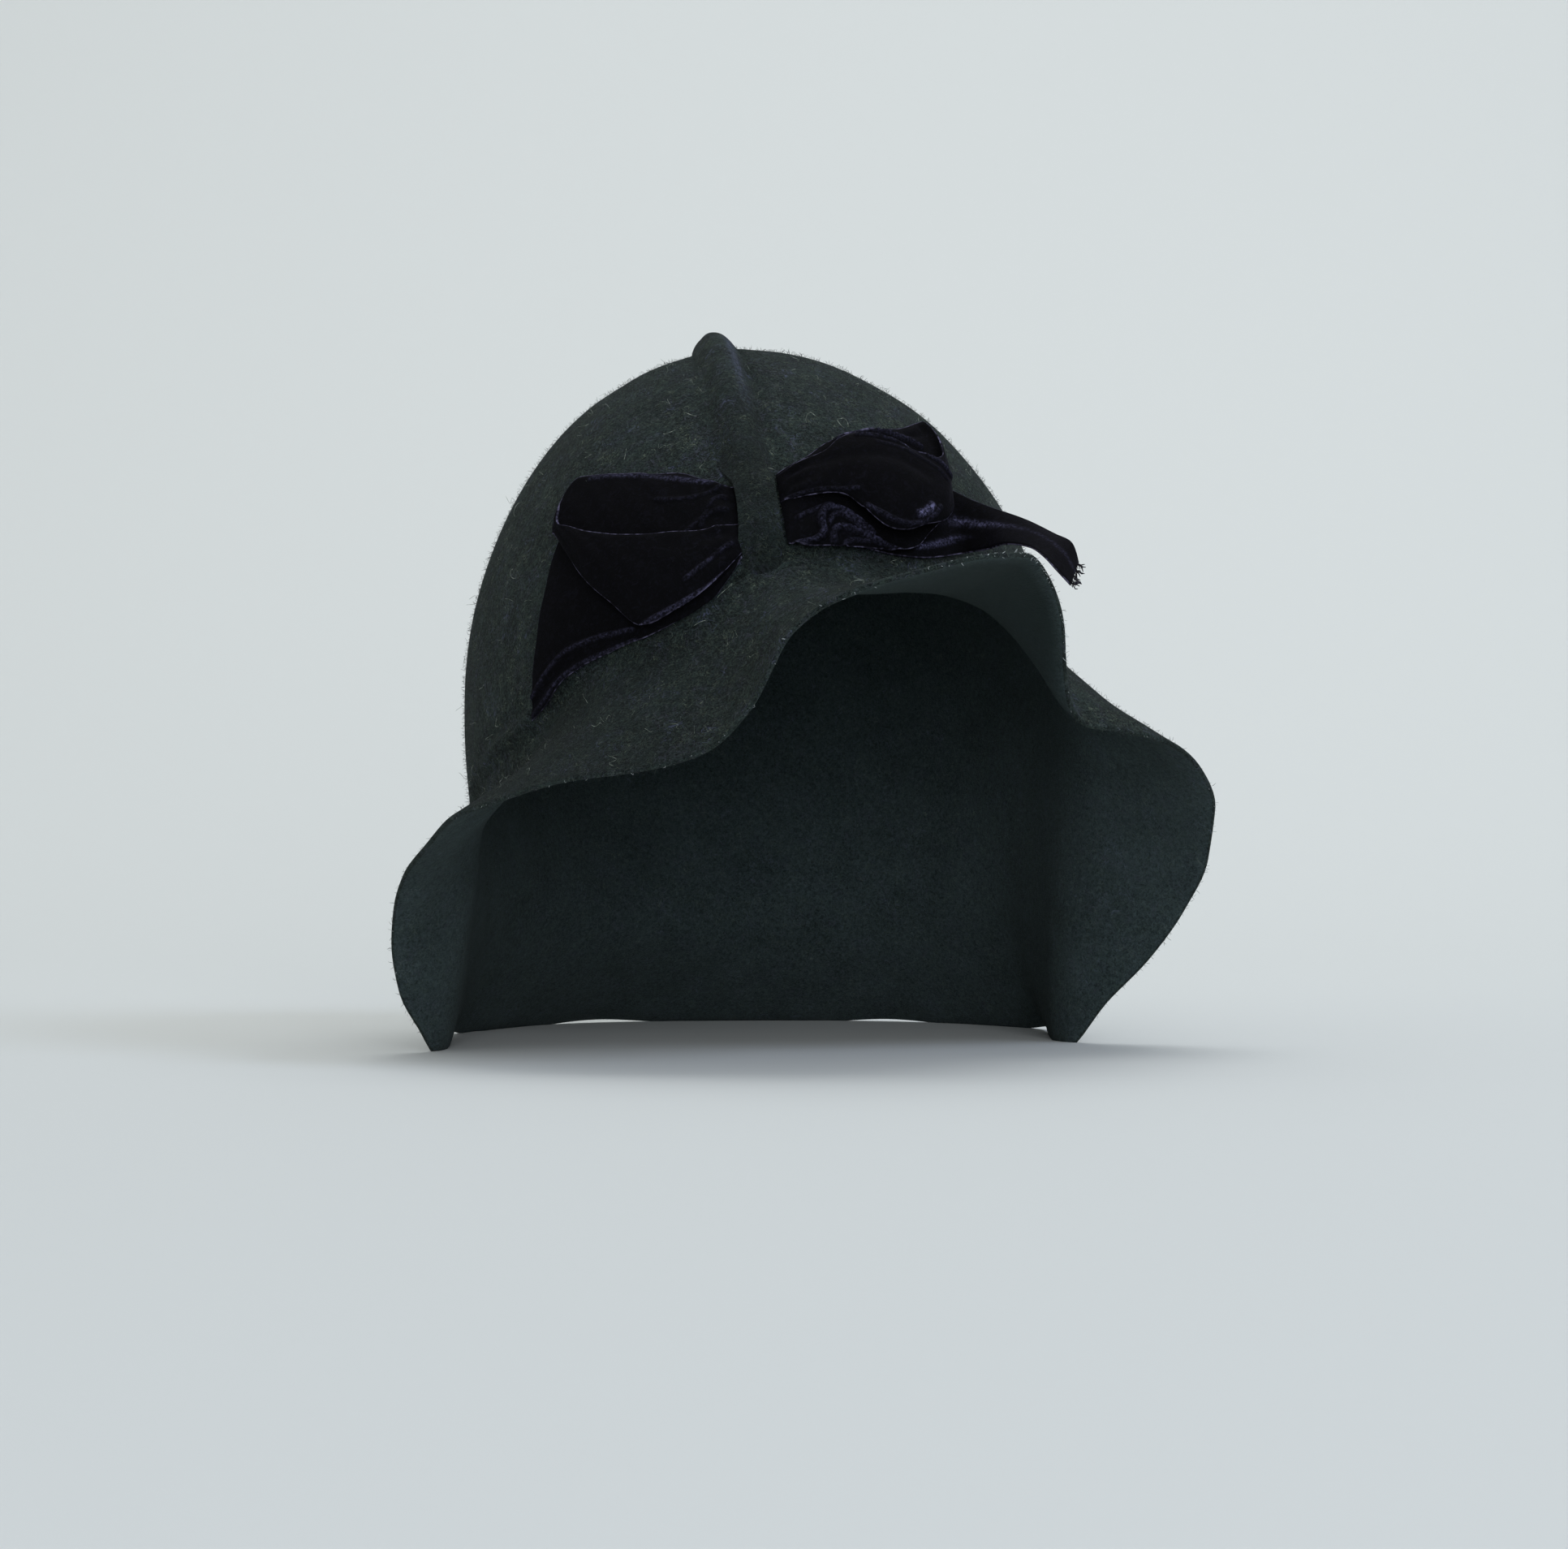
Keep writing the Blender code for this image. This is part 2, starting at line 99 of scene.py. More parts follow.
# Ridge. The powers shape its section: its right and its left side, and a knob's upright side.
RIDGE_WIDTH = 0.0125
RIDGE_HEIGHT = 0.0070
RIDGE_STEPS = 8
RIDGE_CELLS = 30
RIDGE_SPREAD = 1.30
RIDGE_ROOT = 0.0008
RIDGE_TRAIL = 0.8
RIDGE_TOP_POWERS = (2.6, 1.8)
RIDGE_FOOT_POWERS = (1.5, 2.0)
KNOB_POWER = 2.4
RIDGE_RIPPLE = 0.00015
RIDGE_RIPPLES = 70.0

# Degrees of turn from the front to the ridge's left and right side, where the ribbons start
RIDGE_SIDE = {-1: -0.8945, 1: 9.1751}

# Ribbon. EDGE_THIN and EDGE_SWELL: how thin its edges are and how fast it thickens from them.
RIBBON_THICKNESS = 0.0011
VELVET_THICKNESS = 0.0008
BOW_DEPTH = 0.0090
RIBBON_STEPS = 14
RIBBON_CELLS = 64
CLEARANCE = 0.0004
JOINT_REACH = 16
JOINT_ROUNDS = 60
EDGE_THIN = 0.35
EDGE_SWELL = 14.0

# Small gathers where a ribbon leaves the ridge, over GATHER_FADE degrees, and ripples all over
GATHER_HEIGHT = 0.00045
GATHER_FADE = 5.0
GATHER_START = 2.5
GATHERS = 2.6
RIPPLE_HEIGHT = 0.00018

# The right tail's free stretch: the way its middle stands back, and a highlight painted along a
# fold across it
CURL_WAY = (0.15, 0.75, 0.45)
LIT_MIDDLE = 0.56
LIT_REACH = 0.06

# Lowest height at which fibres are rooted
FIBRE_FLOOR = 0.0045

# Lint curls: points along each, the tube's radius, and its least and greatest lift off the felt
CURL_POINTS = 13
CURL_RADIUS = 0.00007
CURL_LIFT = 0.0004
CURL_ARCH = 0.0009

# Lengths on the felt of one degree of turn and of one whole run, for reliefs
MM_PER_TURN = 1.35
MM_PER_RUN = 150.0

# The brim, section by section. turn: degrees round the crown from the front, + to the right.
# break_rise: height of the crown's foot over its widest level, as a share of CROWN_RISE.
# side, ahead, lift: the outer edge, as shares of BRIM_WIDTH, BRIM_LENGTH and BRIM_LIFT.
Section = namedtuple("Section", "turn break_rise side ahead lift")
SECTIONS = [
    Section(-180, -0.26, 0.005, -0.525, -0.008),
    Section(-153, -0.24, -0.220, -0.478, 0.014),
    Section(-128, -0.18, -0.368, -0.330, -0.008),
    Section(-110, -0.15, -0.408, -0.200, 0.016),
    Section(-96, -0.13, -0.404, -0.068, -0.006),
    Section(-86, -0.12, -0.396, 0.022, -0.010),
    Section(-81, -0.12, -0.402, 0.060, -0.008),
    Section(-77, -0.12, -0.419, 0.086, 0.050),
    Section(-73, -0.12, -0.440, 0.105, 0.125),
    Section(-69, -0.12, -0.447, 0.129, 0.215),
    Section(-64, -0.12, -0.442, 0.158, 0.297),
    Section(-58, -0.11, -0.428, 0.197, 0.365),
    Section(-50, -0.08, -0.395, 0.263, 0.433),
    Section(-43, -0.04, -0.358, 0.319, 0.495),
    Section(-36, 0.02, -0.314, 0.368, 0.521),
    Section(-25, 0.07, -0.226, 0.421, 0.564),
    Section(-14, 0.12, -0.127, 0.452, 0.588),
    Section(-7, 0.16, -0.062, 0.459, 0.622),
    Section(-2, 0.21, -0.015, 0.460, 0.700),
    Section(3, 0.24, 0.033, 0.462, 0.845),
    Section(9, 0.25, 0.093, 0.470, 0.914),
    Section(18, 0.24, 0.184, 0.475, 0.962),
    Section(26, 0.23, 0.257, 0.455, 0.992),
    Section(32, 0.22, 0.302, 0.416, 0.998),
    Section(38, 0.21, 0.334, 0.355, 0.950),
    Section(45, 0.20, 0.353, 0.298, 0.868),
    Section(51, 0.18, 0.359, 0.246, 0.790),
    Section(56, 0.17, 0.366, 0.216, 0.720),
    Section(61, 0.15, 0.390, 0.194, 0.670),
    Section(66, 0.14, 0.434, 0.178, 0.660),
    Section(71, 0.13, 0.486, 0.152, 0.640),
    Section(76, 0.12, 0.530, 0.110, 0.585),
    Section(81, 0.11, 0.553, 0.060, 0.500),
    Section(86, 0.10, 0.549, 0.012, 0.392),
    Section(91, 0.09, 0.523, -0.024, 0.285),
    Section(95, 0.07, 0.482, -0.048, 0.182),
    Section(99, 0.05, 0.432, -0.068, 0.090),
    Section(104, 0.02, 0.390, -0.092, -0.006),
    Section(111, -0.02, 0.374, -0.130, -0.008),
    Section(120, -0.06, 0.374, -0.190, -0.006),
    Section(134, -0.12, 0.374, -0.305, 0.014),
    Section(147, -0.17, 0.310, -0.410, -0.006),
    Section(164, -0.23, 0.165, -0.500, 0.012),
]

# Soft swells and dents that wear has left in the felt. turn, run: the middle; wide, tall: reach
# in degrees and in run; out: millimetres outwards.
Dent = namedtuple("Dent", "turn run wide tall out")
DENTS = [
    Dent(95, 0.09, 50, 0.07, 0.7),
    Dent(-80, 0.12, 50, 0.10, -1.4),
    Dent(80, 0.36, 34, 0.15, -0.9),
    Dent(-56, 0.66, 13, 0.26, -0.9),
    Dent(-36, 0.50, 15, 0.22, 0.6),
    Dent(-78, 0.90, 12, 0.12, -1.0),
    Dent(-62, 1.35, 9, 0.22, 0.8),
    Dent(30, 0.48, 18, 0.20, -0.7),
    Dent(64, 0.72, 14, 0.24, 0.7),
    Dent(18, 1.45, 12, 0.25, -0.8),
    Dent(84, 1.10, 10, 0.20, -0.8),
    Dent(-25, 1.45, 10, 0.28, 0.7),
    Dent(120, 0.60, 22, 0.25, -1.0),
    Dent(-120, 0.70, 20, 0.25, 0.8),
    Dent(175, 0.85, 24, 0.22, -1.1),
    Dent(150, 0.30, 26, 0.18, 0.8),
    Dent(-150, 1.30, 12, 0.40, -0.8),
]

# Creases in the felt, each a curve through three places. wide: reach to a side and out: height,
# in millimetres.
FeltCrease = namedtuple("FeltCrease", "turn_1 run_1 turn_2 run_2 turn_3 run_3 wide out")
FELT_CREASES = [
    FeltCrease(11.0, 0.280, 9.0, 0.520, 9.5, 0.800, 1.5, -0.9),
    FeltCrease(-12.0, 0.260, -8.0, 0.520, -5.0, 0.780, 2.4, -0.7),
    FeltCrease(-48.0, 0.940, -66.0, 0.938, -80.0, 0.985, 1.0, -0.9),
    FeltCrease(-46.0, 0.985, -62.0, 0.978, -80.0, 0.995, 1.0, -0.9),
    FeltCrease(-47.0, 0.962, -64.0, 0.957, -77.0, 0.985, 1.6, 1.5),
    FeltCrease(-46.0, 0.990, -22.0, 1.000, 0.0, 1.010, 2.2, -0.8),
    FeltCrease(0.0, 1.010, 30.0, 1.000, 62.0, 1.010, 2.2, -0.8),
]

# Low waves all round the felt. waves: how many; phase: in radians; size: in millimetres.
Wave = namedtuple("Wave", "waves phase size")
WAVES = [Wave(5, 0.4, 0.22), Wave(9, 1.9, 0.16), Wave(14, 4.0, 0.10)]

# Painted shade on the felt. turn: its middle and reach: to a side, in degrees; strength: 1 for full
# shade.
ShadeSpot = namedtuple("ShadeSpot", "turn reach strength")
# Painted shade on the brim's front left, inside the right flap by its edge, and deep inside the
# crown
BRIM_SHADE = ShadeSpot(-35.0, 30.0, 0.42)
FLAP_SHADE = ShadeSpot(36.0, 28.0, 1.0)
INSIDE_SHADE = 0.35

# Painted light on the ridge: a highlight streak, placed across it and along its run, and painted
# shade over its foot
RIDGE_HIGHLIGHT = 0.7
HIGHLIGHT_ACROSS = 0.60
HIGHLIGHT_WIDE = 0.20
HIGHLIGHT_RUN = 0.33
FOOT_FROM = 0.55
FOOT_SHADE = 0.55

# The ridge. run: place along the crown's front, 0 at the crown's pole and 1 at the break.
# across: offset to the right; wide, high: size there; lip: height at its sides. Shares of
# RIDGE_WIDTH and RIDGE_HEIGHT. blunt: 1 for a knob with upright sides, 0 for a tuck that runs out.
Ridge = namedtuple("Ridge", "run across wide high lip blunt")
RIDGE = [
    Ridge(-0.080, -0.18, 0.06, -0.05, -0.05, 1.0),
    Ridge(-0.066, -0.18, 0.46, 0.52, -0.05, 1.0),
    Ridge(-0.030, -0.18, 0.66, 0.92, -0.05, 1.0),
    Ridge(0.025, -0.17, 0.70, 1.00, -0.05, 0.9),
    Ridge(0.085, -0.15, 0.70, 0.90, -0.05, 0.6),
    Ridge(0.160, -0.12, 0.72, 0.70, -0.05, 0.3),
    Ridge(0.270, -0.07, 0.74, 0.62, -0.05, 0.1),
    Ridge(0.400, 0.00, 0.76, 0.58, -0.05, 0.0),
    Ridge(0.540, 0.08, 0.80, 0.55, -0.05, 0.0),
    Ridge(0.670, 0.17, 0.82, 0.50, -0.04, 0.0),
    Ridge(0.770, 0.27, 0.84, 0.44, 0.06, 0.0),
    Ridge(0.825, 0.38, 0.88, 0.50, 0.38, 0.0),
    Ridge(0.900, 0.40, 0.88, 0.48, 0.38, 0.0),
    Ridge(0.950, 0.38, 0.84, 0.34, 0.22, 0.0),
    Ridge(0.985, 0.36, 0.78, 0.14, -0.03, 0.0),
    Ridge(1.020, 0.36, 0.60, -0.05, -0.05, 0.0),
]

# A ribbon, section by section along its length. away_top, away_low: degrees round the crown
# from the ridge's side to the ribbon's upper and lower edge. run_top, run_low: those edges'
# place down the hat, 1 at the break and 2 at the brim's edge. layer: how many ribbon layers it
# lies over. puff: how far it stands off, and belly: its rise across, as shares of BOW_DEPTH.
Fold = namedtuple("Fold", "away_top run_top away_low run_low layer puff belly")

LOOP_LEFT = [
    Fold(-0.7, 0.822, -0.7, 0.930, 0.0, -0.03, 0.00),
    Fold(1.0, 0.812, 1.0, 0.928, 0.0, 0.01, 0.04),
    Fold(4.0, 0.778, 4.0, 0.918, 0.0, 0.04, 0.08),
    Fold(9.0, 0.730, 9.0, 0.900, 0.0, 0.05, 0.10),
    Fold(17.0, 0.694, 17.0, 0.875, 0.0, 0.06, 0.10),
    Fold(25.0, 0.662, 25.0, 0.842, 0.0, 0.08, 0.08),
    Fold(30.6, 0.642, 30.6, 0.805, 0.1, 0.12, 0.06),
    Fold(34.0, 0.640, 33.8, 0.772, 0.4, 0.18, 0.04),
    Fold(35.5, 0.674, 35.5, 0.746, 1.0, 0.23, 0.02),
    Fold(35.0, 0.715, 35.2, 0.748, 1.7, 0.25, 0.02),
    Fold(33.8, 0.738, 34.0, 0.760, 2.0, 0.24, 0.02),
    Fold(31.0, 0.757, 31.0, 0.806, 2.1, 0.23, 0.04),
    Fold(27.3, 0.782, 27.3, 0.866, 2.1, 0.22, 0.08),
    Fold(22.5, 0.809, 22.5, 0.926, 2.0, 0.22, 0.12),
    Fold(17.4, 0.834, 17.2, 0.990, 2.0, 0.22, 0.14),
    Fold(10.4, 0.860, 10.6, 0.994, 1.8, 0.16, 0.13),
    Fold(4.5, 0.885, 4.5, 0.986, 1.2, 0.09, 0.08),
    Fold(1.2, 0.900, 1.2, 0.975, 0.6, 0.02, 0.03),
    Fold(-0.7, 0.905, -0.7, 0.965, 0.2, -0.03, 0.00),
]

TAIL_LEFT = [
    Fold(-0.7, 0.950, -0.7, 0.972, 0.0, -0.03, 0.00),
    Fold(2.0, 0.950, 2.0, 0.992, 0.0, 0.00, 0.01),
    Fold(7.0, 0.942, 7.5, 1.006, 0.0, 0.02, 0.04),
    Fold(16.0, 0.905, 17.0, 0.998, 0.0, 0.02, 0.08),
    Fold(25.0, 0.850, 26.5, 0.986, 0.0, 0.03, 0.10),
    Fold(31.0, 0.795, 34.0, 0.980, 0.0, 0.05, 0.10),
    Fold(34.4, 0.755, 39.5, 0.982, 0.0, 0.06, 0.08),
    Fold(36.6, 0.734, 43.8, 0.980, 0.0, 0.07, 0.05),
]

LOOP_RIGHT = [
    Fold(-0.7, 0.822, -0.7, 0.975, 0.3, -0.03, 0.00),
    Fold(1.0, 0.816, 1.0, 0.984, 0.7, 0.01, 0.03),
    Fold(5.0, 0.796, 5.0, 0.986, 1.0, 0.03, 0.06),
    Fold(11.0, 0.752, 11.0, 0.986, 1.0, 0.06, 0.08),
    Fold(18.0, 0.722, 18.0, 0.986, 1.0, 0.09, 0.08),
    Fold(25.0, 0.704, 23.0, 0.972, 1.0, 0.13, 0.06),
    Fold(31.2, 0.690, 26.4, 0.940, 1.1, 0.17, 0.05),
    Fold(35.8, 0.672, 30.0, 0.908, 1.4, 0.22, 0.03),
    Fold(37.0, 0.676, 31.6, 0.890, 2.0, 0.28, 0.02),
    Fold(36.0, 0.722, 30.6, 0.902, 2.6, 0.36, 0.02),
    Fold(33.4, 0.780, 29.0, 0.918, 2.9, 0.42, 0.04),
    Fold(30.2, 0.800, 26.9, 0.936, 3.0, 0.46, 0.12),
    Fold(25.6, 0.797, 23.2, 0.950, 3.0, 0.46, 0.24),
    Fold(20.6, 0.770, 19.2, 0.966, 3.0, 0.42, 0.32),
    Fold(15.5, 0.763, 15.6, 0.962, 3.0, 0.36, 0.32),
    Fold(11.8, 0.775, 12.6, 0.926, 2.8, 0.30, 0.24),
    Fold(8.6, 0.800, 9.8, 0.896, 2.6, 0.24, 0.16),
    Fold(4.0, 0.817, 5.0, 0.892, 2.2, 0.14, 0.10),
    Fold(1.0, 0.824, 1.0, 0.890, 1.1, 0.04, 0.05),
    Fold(-0.7, 0.828, -0.7, 0.888, 0.4, -0.03, 0.00),
]

TAIL_RIGHT = [
    Fold(0.0, 0.850, 0.0, 0.960, 0.0, 0.00, 0.00),
    Fold(11.0, 0.850, 11.0, 0.975, 0.0, 0.00, 0.00),
    Fold(20.0, 0.845, 20.0, 0.985, 0.0, 0.00, 0.00),
    Fold(29.0, 0.820, 28.0, 0.975, 0.0, 0.01, 0.01),
    Fold(37.0, 0.795, 34.5, 0.955, 0.0, 0.03, 0.02),
]

# The right tail's free stretch. along: share of the way from where it leaves the crown to the
# brim's edge, at BRIDGE_TOP and BRIDGE_LOW degrees from the ridge's side. out: to the right of
# that straight line, and up: over it, as shares of BOW_DEPTH. curl: how far its middle stands
# back from its edges.
Span = namedtuple("Span", "along_top out_top up_top along_low out_low up_low curl")
BRIDGE_TOP = 33.0
BRIDGE_LOW = 27.0
BRIDGE = [
    Span(0.00, 0.00, 0.00, 0.00, 0.00, 0.00, 0.00),
    Span(0.12, 0.29, 0.03, 0.21, 0.23, 0.19, 0.06),
    Span(0.30, 0.46, 0.32, 0.49, 0.13, 0.46, 0.16),
    Span(0.58, 0.43, 0.94, 0.78, 0.07, 0.50, 0.26),
    Span(0.86, 0.29, 1.49, 1.01, -0.10, 0.36, 0.30),
    Span(1.07, 0.07, 1.94, 1.17, -0.11, 0.03, 0.24),
    Span(1.19, -0.17, 1.81, 1.20, 0.21, -0.38, 0.14),
]

# Creases and ruffles of the ribbons, each a curve through three places. part: 0 for the layer
# that lies back, 1 for the one that comes forward. wide: reach to a side and out: height, in
# millimetres. The last column: how much violet highlight is painted along it.
Crease = namedtuple("Crease", "part away_1 run_1 away_2 run_2 away_3 run_3 wide out crushed")
CREASES = {
    "bow_loop_left": [
        Crease(0, 14.5, 0.766, 8.0, 0.795, -1.0, 0.817, 0.5, 0.4, 0.08),
        Crease(0, 30.0, 0.652, 17.0, 0.702, 3.0, 0.789, 0.9, 0.2, 0.30),
        Crease(0, 17.0, 0.700, 8.0, 0.742, 0.0, 0.795, 1.6, -0.4, 0.0),
        Crease(0, 6.0, 0.862, 3.5, 0.830, 1.0, 0.842, 0.5, 0.6, 0.08),
        Crease(0, 10.0, 0.862, 5.0, 0.850, 1.0, 0.868, 0.5, 0.5, 0.07),
        Crease(1, 17.0, 0.992, 10.0, 0.990, 3.0, 0.985, 0.7, 0.9, 0.26),
        Crease(1, 8.0, 0.850, 4.0, 0.880, 3.0, 0.915, 0.6, 0.4, 0.05),
        Crease(1, 9.0, 0.955, 5.0, 0.945, 1.0, 0.940, 0.6, 0.6, 0.14),
    ],
    "bow_tail_left": [
        Crease(0, 43.0, 0.950, 33.0, 0.945, 20.0, 0.975, 0.5, 0.7, 0.15),
        Crease(0, 43.0, 0.964, 33.0, 0.962, 20.0, 0.985, 0.9, -0.4, 0.0),
        Crease(0, 43.0, 0.976, 33.0, 0.976, 20.0, 0.993, 0.5, 0.5, 0.16),
    ],
    "bow_loop_right": [
        Crease(0, 13.0, 0.748, 22.0, 0.712, 32.0, 0.745, 0.6, 1.3, 0.20),
        Crease(0, 15.0, 0.760, 24.0, 0.748, 33.0, 0.792, 1.2, -0.9, 0.0),
        Crease(0, 16.0, 0.773, 24.0, 0.770, 32.0, 0.816, 0.6, 0.9, 0.12),
        Crease(0, 31.0, 0.712, 34.5, 0.708, 36.0, 0.690, 1.2, -0.6, 0.0),
        Crease(0, 0.5, 0.982, 5.0, 0.970, 5.4, 0.938, 0.6, 1.9, 0.23),
        Crease(0, 5.6, 0.936, 8.5, 0.912, 14.5, 0.958, 0.6, 1.8, 0.26),
        Crease(0, 7.0, 0.944, 9.5, 0.924, 14.0, 0.968, 0.5, 1.0, 0.20),
        Crease(0, 7.2, 0.980, 9.2, 0.950, 16.0, 0.981, 0.6, 1.5, 0.23),
        Crease(0, 9.0, 0.988, 12.0, 0.974, 21.0, 0.988, 0.5, 0.9, 0.19),
        Crease(0, 1.5, 0.930, 4.0, 0.918, 8.0, 0.904, 0.5, 0.7, 0.14),
        Crease(1, 32.0, 0.838, 26.0, 0.795, 15.0, 0.775, 0.5, 0.9, 0.16),
        Crease(1, 30.0, 0.850, 25.0, 0.815, 18.0, 0.795, 0.5, 0.5, 0.08),
        Crease(1, 25.0, 0.855, 16.0, 0.825, 2.0, 0.840, 2.4, -0.8, 0.0),
        Crease(1, 24.2, 0.920, 23.2, 0.930, 21.6, 0.938, 0.9, 0.9, 0.90),
        Crease(1, 26.0, 0.917, 19.5, 0.958, 13.0, 0.925, 0.5, 0.8, 0.16),
        Crease(1, 12.0, 0.893, 6.0, 0.886, 0.0, 0.888, 0.4, 0.5, 0.09),
    ],
    "bow_tail_right": [
        Crease(0, 24.0, 0.962, 30.0, 0.944, 36.8, 0.912, 0.8, 0.5, 0.60),
    ],
}

# Where the ribbon's front layer begins, as a share of its rows
FRONT_FROM = {"bow_loop_left": 0.47, "bow_loop_right": 0.42}

# Lint and thread ends: a curl at turn and run, size millimetres across, heading and sweep degrees
Curl = namedtuple("Curl", "turn run size heading sweep")
CURLS = [
    Curl(-4.5, 1.030, 2.6, 20, 150),
    Curl(-3.0, 1.045, 1.6, 240, 190),
    Curl(-8.5, 1.105, 5.5, 70, 60),
    Curl(27.5, 0.668, 3.4, 90, 330),
    Curl(20.5, 0.665, 5.0, 150, 170),
    Curl(6.0, 0.735, 4.2, 100, 80),
    Curl(-8.5, 0.560, 5.0, 60, 120),
    Curl(-9.0, 0.760, 2.4, 200, 140),
    Curl(-2.0, 0.560, 4.6, 310, 90),
    Curl(-14.0, 0.600, 3.8, 10, 160),
    Curl(-20.0, 0.680, 3.6, 30, 80),
    Curl(-16.0, 0.930, 2.2, 70, 160),
    Curl(13.5, 0.890, 2.6, 120, 260),
    Curl(16.0, 1.400, 4.4, 10, 70),
    Curl(-52.0, 0.700, 4.5, 80, 120),
    Curl(-60.0, 0.560, 4.0, 130, 100),
]


def unit(vectors):
    """The same directions, one unit long."""
    return vectors / np.maximum(np.linalg.norm(vectors, axis=-1, keepdims=True), 1e-12)


def closed_curve(column):
    """Knots, values and slopes of a smooth closed curve through one column of SECTIONS."""
    turns = np.array([row.turn for row in SECTIONS], float)
    values = np.array([getattr(row, column) for row in SECTIONS], float)
    xs = np.concatenate([turns - 360.0, turns, turns + 360.0])
    ys = np.concatenate([values, values, values])
    widths = np.diff(xs)
    slopes = np.diff(ys) / widths
    before, after = slopes[:-1], slopes[1:]
    weight_1 = 2.0 * widths[1:] + widths[:-1]
    weight_2 = widths[1:] + 2.0 * widths[:-1]
    with np.errstate(divide="ignore", invalid="ignore"):
        mean = (weight_1 + weight_2) / (weight_1 / before + weight_2 / after)
    tangents = np.where(before * after > 0.0, mean, 0.0)
    return xs, ys, np.concatenate([[0.0], tangents, [0.0]])


CURVES = {name: closed_curve(name) for name in ("break_rise", "side", "ahead", "lift")}


def smooth_round(column, turn):
    """A column of SECTIONS read at any turns."""
    xs, ys, tangents = CURVES[column]
    k = np.searchsorted(xs, turn) - 1
    width = xs[k + 1] - xs[k]
    t = (turn - xs[k]) / width
    start = ys[k] * (2 * t ** 3 - 3 * t ** 2 + 1) + ys[k + 1] * (3 * t ** 2 - 2 * t ** 3)
    sweep = tangents[k] * (t ** 3 - 2 * t ** 2 + t) + tangents[k + 1] * (t ** 3 - t ** 2)
    return start + width * sweep


def crown_to_hat(side, back, up):
    """Turn points of the upright crown into the leaning, tilted crown's place."""
    tilted_back = math.cos(CROWN_TILT) * back + math.sin(CROWN_TILT) * up
    tilted_up = math.cos(CROWN_TILT) * up - math.sin(CROWN_TILT) * back
    x = math.cos(CROWN_LEAN) * side - math.sin(CROWN_LEAN) * tilted_up
    z = math.sin(CROWN_LEAN) * side + math.cos(CROWN_LEAN) * tilted_up
    return np.stack([CROWN_SET_RIGHT + x, CROWN_SET_BACK + tilted_back, CROWN_SEAT + z], axis=-1)


def edge_point(turn):
    """The brim's outer edge at these turns."""
    x = BRIM_WIDTH * smooth_round("side", turn)
    y = -BRIM_LENGTH * smooth_round("ahead", turn)
    z = BRIM_LIFT * smooth_round("lift", turn)
    return np.stack([x, y, z], axis=-1)


def crown_point(turn, depth):
    """Points on the crown, depth being the angle down from the pole, in radians."""
    angle = np.radians(turn)
    past = np.maximum(depth - math.pi / 2, 0.0)
    spread = np.where(past > 0.0, 1.0, np.sin(depth))
    up = np.where(past > 0.0, -CROWN_RISE * past, CROWN_RISE * np.cos(depth))
    side = CROWN_WIDTH / 2 * spread * np.sin(angle)
    back = -CROWN_LENGTH / 2 * spread * np.cos(angle)
    return crown_to_hat(side, back, up)


def break_depth(turn):
    """How far down from the pole the crown ends at these turns, in radians."""
    rise = smooth_round("break_rise", turn)
    return np.where(rise >= 0.0, np.arccos(np.clip(rise, 0.0, 1.0)), math.pi / 2 - rise)


def felt_point(turn, run):
    """Points on the felt's outer side: run is 0 at the pole, 1 at the break, 2 at the edge."""
    turn, run = np.broadcast_arrays(np.asarray(turn, float), np.asarray(run, float))
    deepest = break_depth(turn)
    on_crown = crown_point(turn, np.minimum(run, 1.0) * deepest)
    foot = crown_point(turn, deepest)
    down = unit(foot - crown_point(turn, deepest * 0.97))
    edge = edge_point(turn)
    length = np.linalg.norm(edge - foot, axis=-1, keepdims=True)
    knee = foot + down * length * BRIM_BREAK
    rise = edge + (knee - edge) * BRIM_FLARE
    t = np.clip(run - 1.0, 0.0, 1.0)[..., None]
    on_brim = (1 - t) ** 3 * foot + 3 * (1 - t) ** 2 * t * knee
    on_brim = on_brim + 3 * (1 - t) * t ** 2 * rise + t ** 3 * edge
    on_brim = on_brim + (edge - rise) * 3.0 * np.maximum(run - 2.0, 0.0)[..., None]
    return np.where(run[..., None] <= 1.0, on_crown, on_brim)


def felt_normal(turn, run):
    """The felt's outward directions there."""
    turn, run = np.broadcast_arrays(np.asarray(turn, float), np.asarray(run, float))
    round_step = felt_point(turn + NORMAL_TURN, run) - felt_point(turn - NORMAL_TURN, run)
    down_step = felt_point(turn, run + NORMAL_RUN) - felt_point(turn, run - NORMAL_RUN)
    return unit(np.cross(down_step, round_step))


def off_felt(turn, run, height):
    """Points that stand this height off the felt's plain shape."""
    return felt_point(turn, run) + felt_normal(turn, run) * height[..., None]


def edge_outwards(turns):
    """The directions in which the brim ends at its cut edge."""
    return unit(felt_point(turns, 2.0) - felt_point(turns, EDGE_RUN))


def section_turns(count):
    """Turns of the felt's sections, closer together where the brim's edge swings out."""
    fine = np.linspace(-180.0, 180.0, FINE_TURNS)
    steps = np.linalg.norm(np.diff(edge_point(fine), axis=0), axis=1)
    steps = steps + EVEN_SHARE * CROWN_WIDTH / 2 * np.radians(np.diff(fine))
    passed = np.concatenate([[0.0], np.cumsum(steps)])
    return np.interp(np.arange(count) * passed[-1] / count, passed, fine)


def hat_middle():
    """Middle of the brim's outline in plan, as the CAD model centres it."""
    edges = edge_point(section_turns(CAD_SECTIONS))
    middle = (edges.min(axis=0) + edges.max(axis=0)) / 2
    return np.array([middle[0], middle[1], 0.0])


MIDDLE = hat_middle()


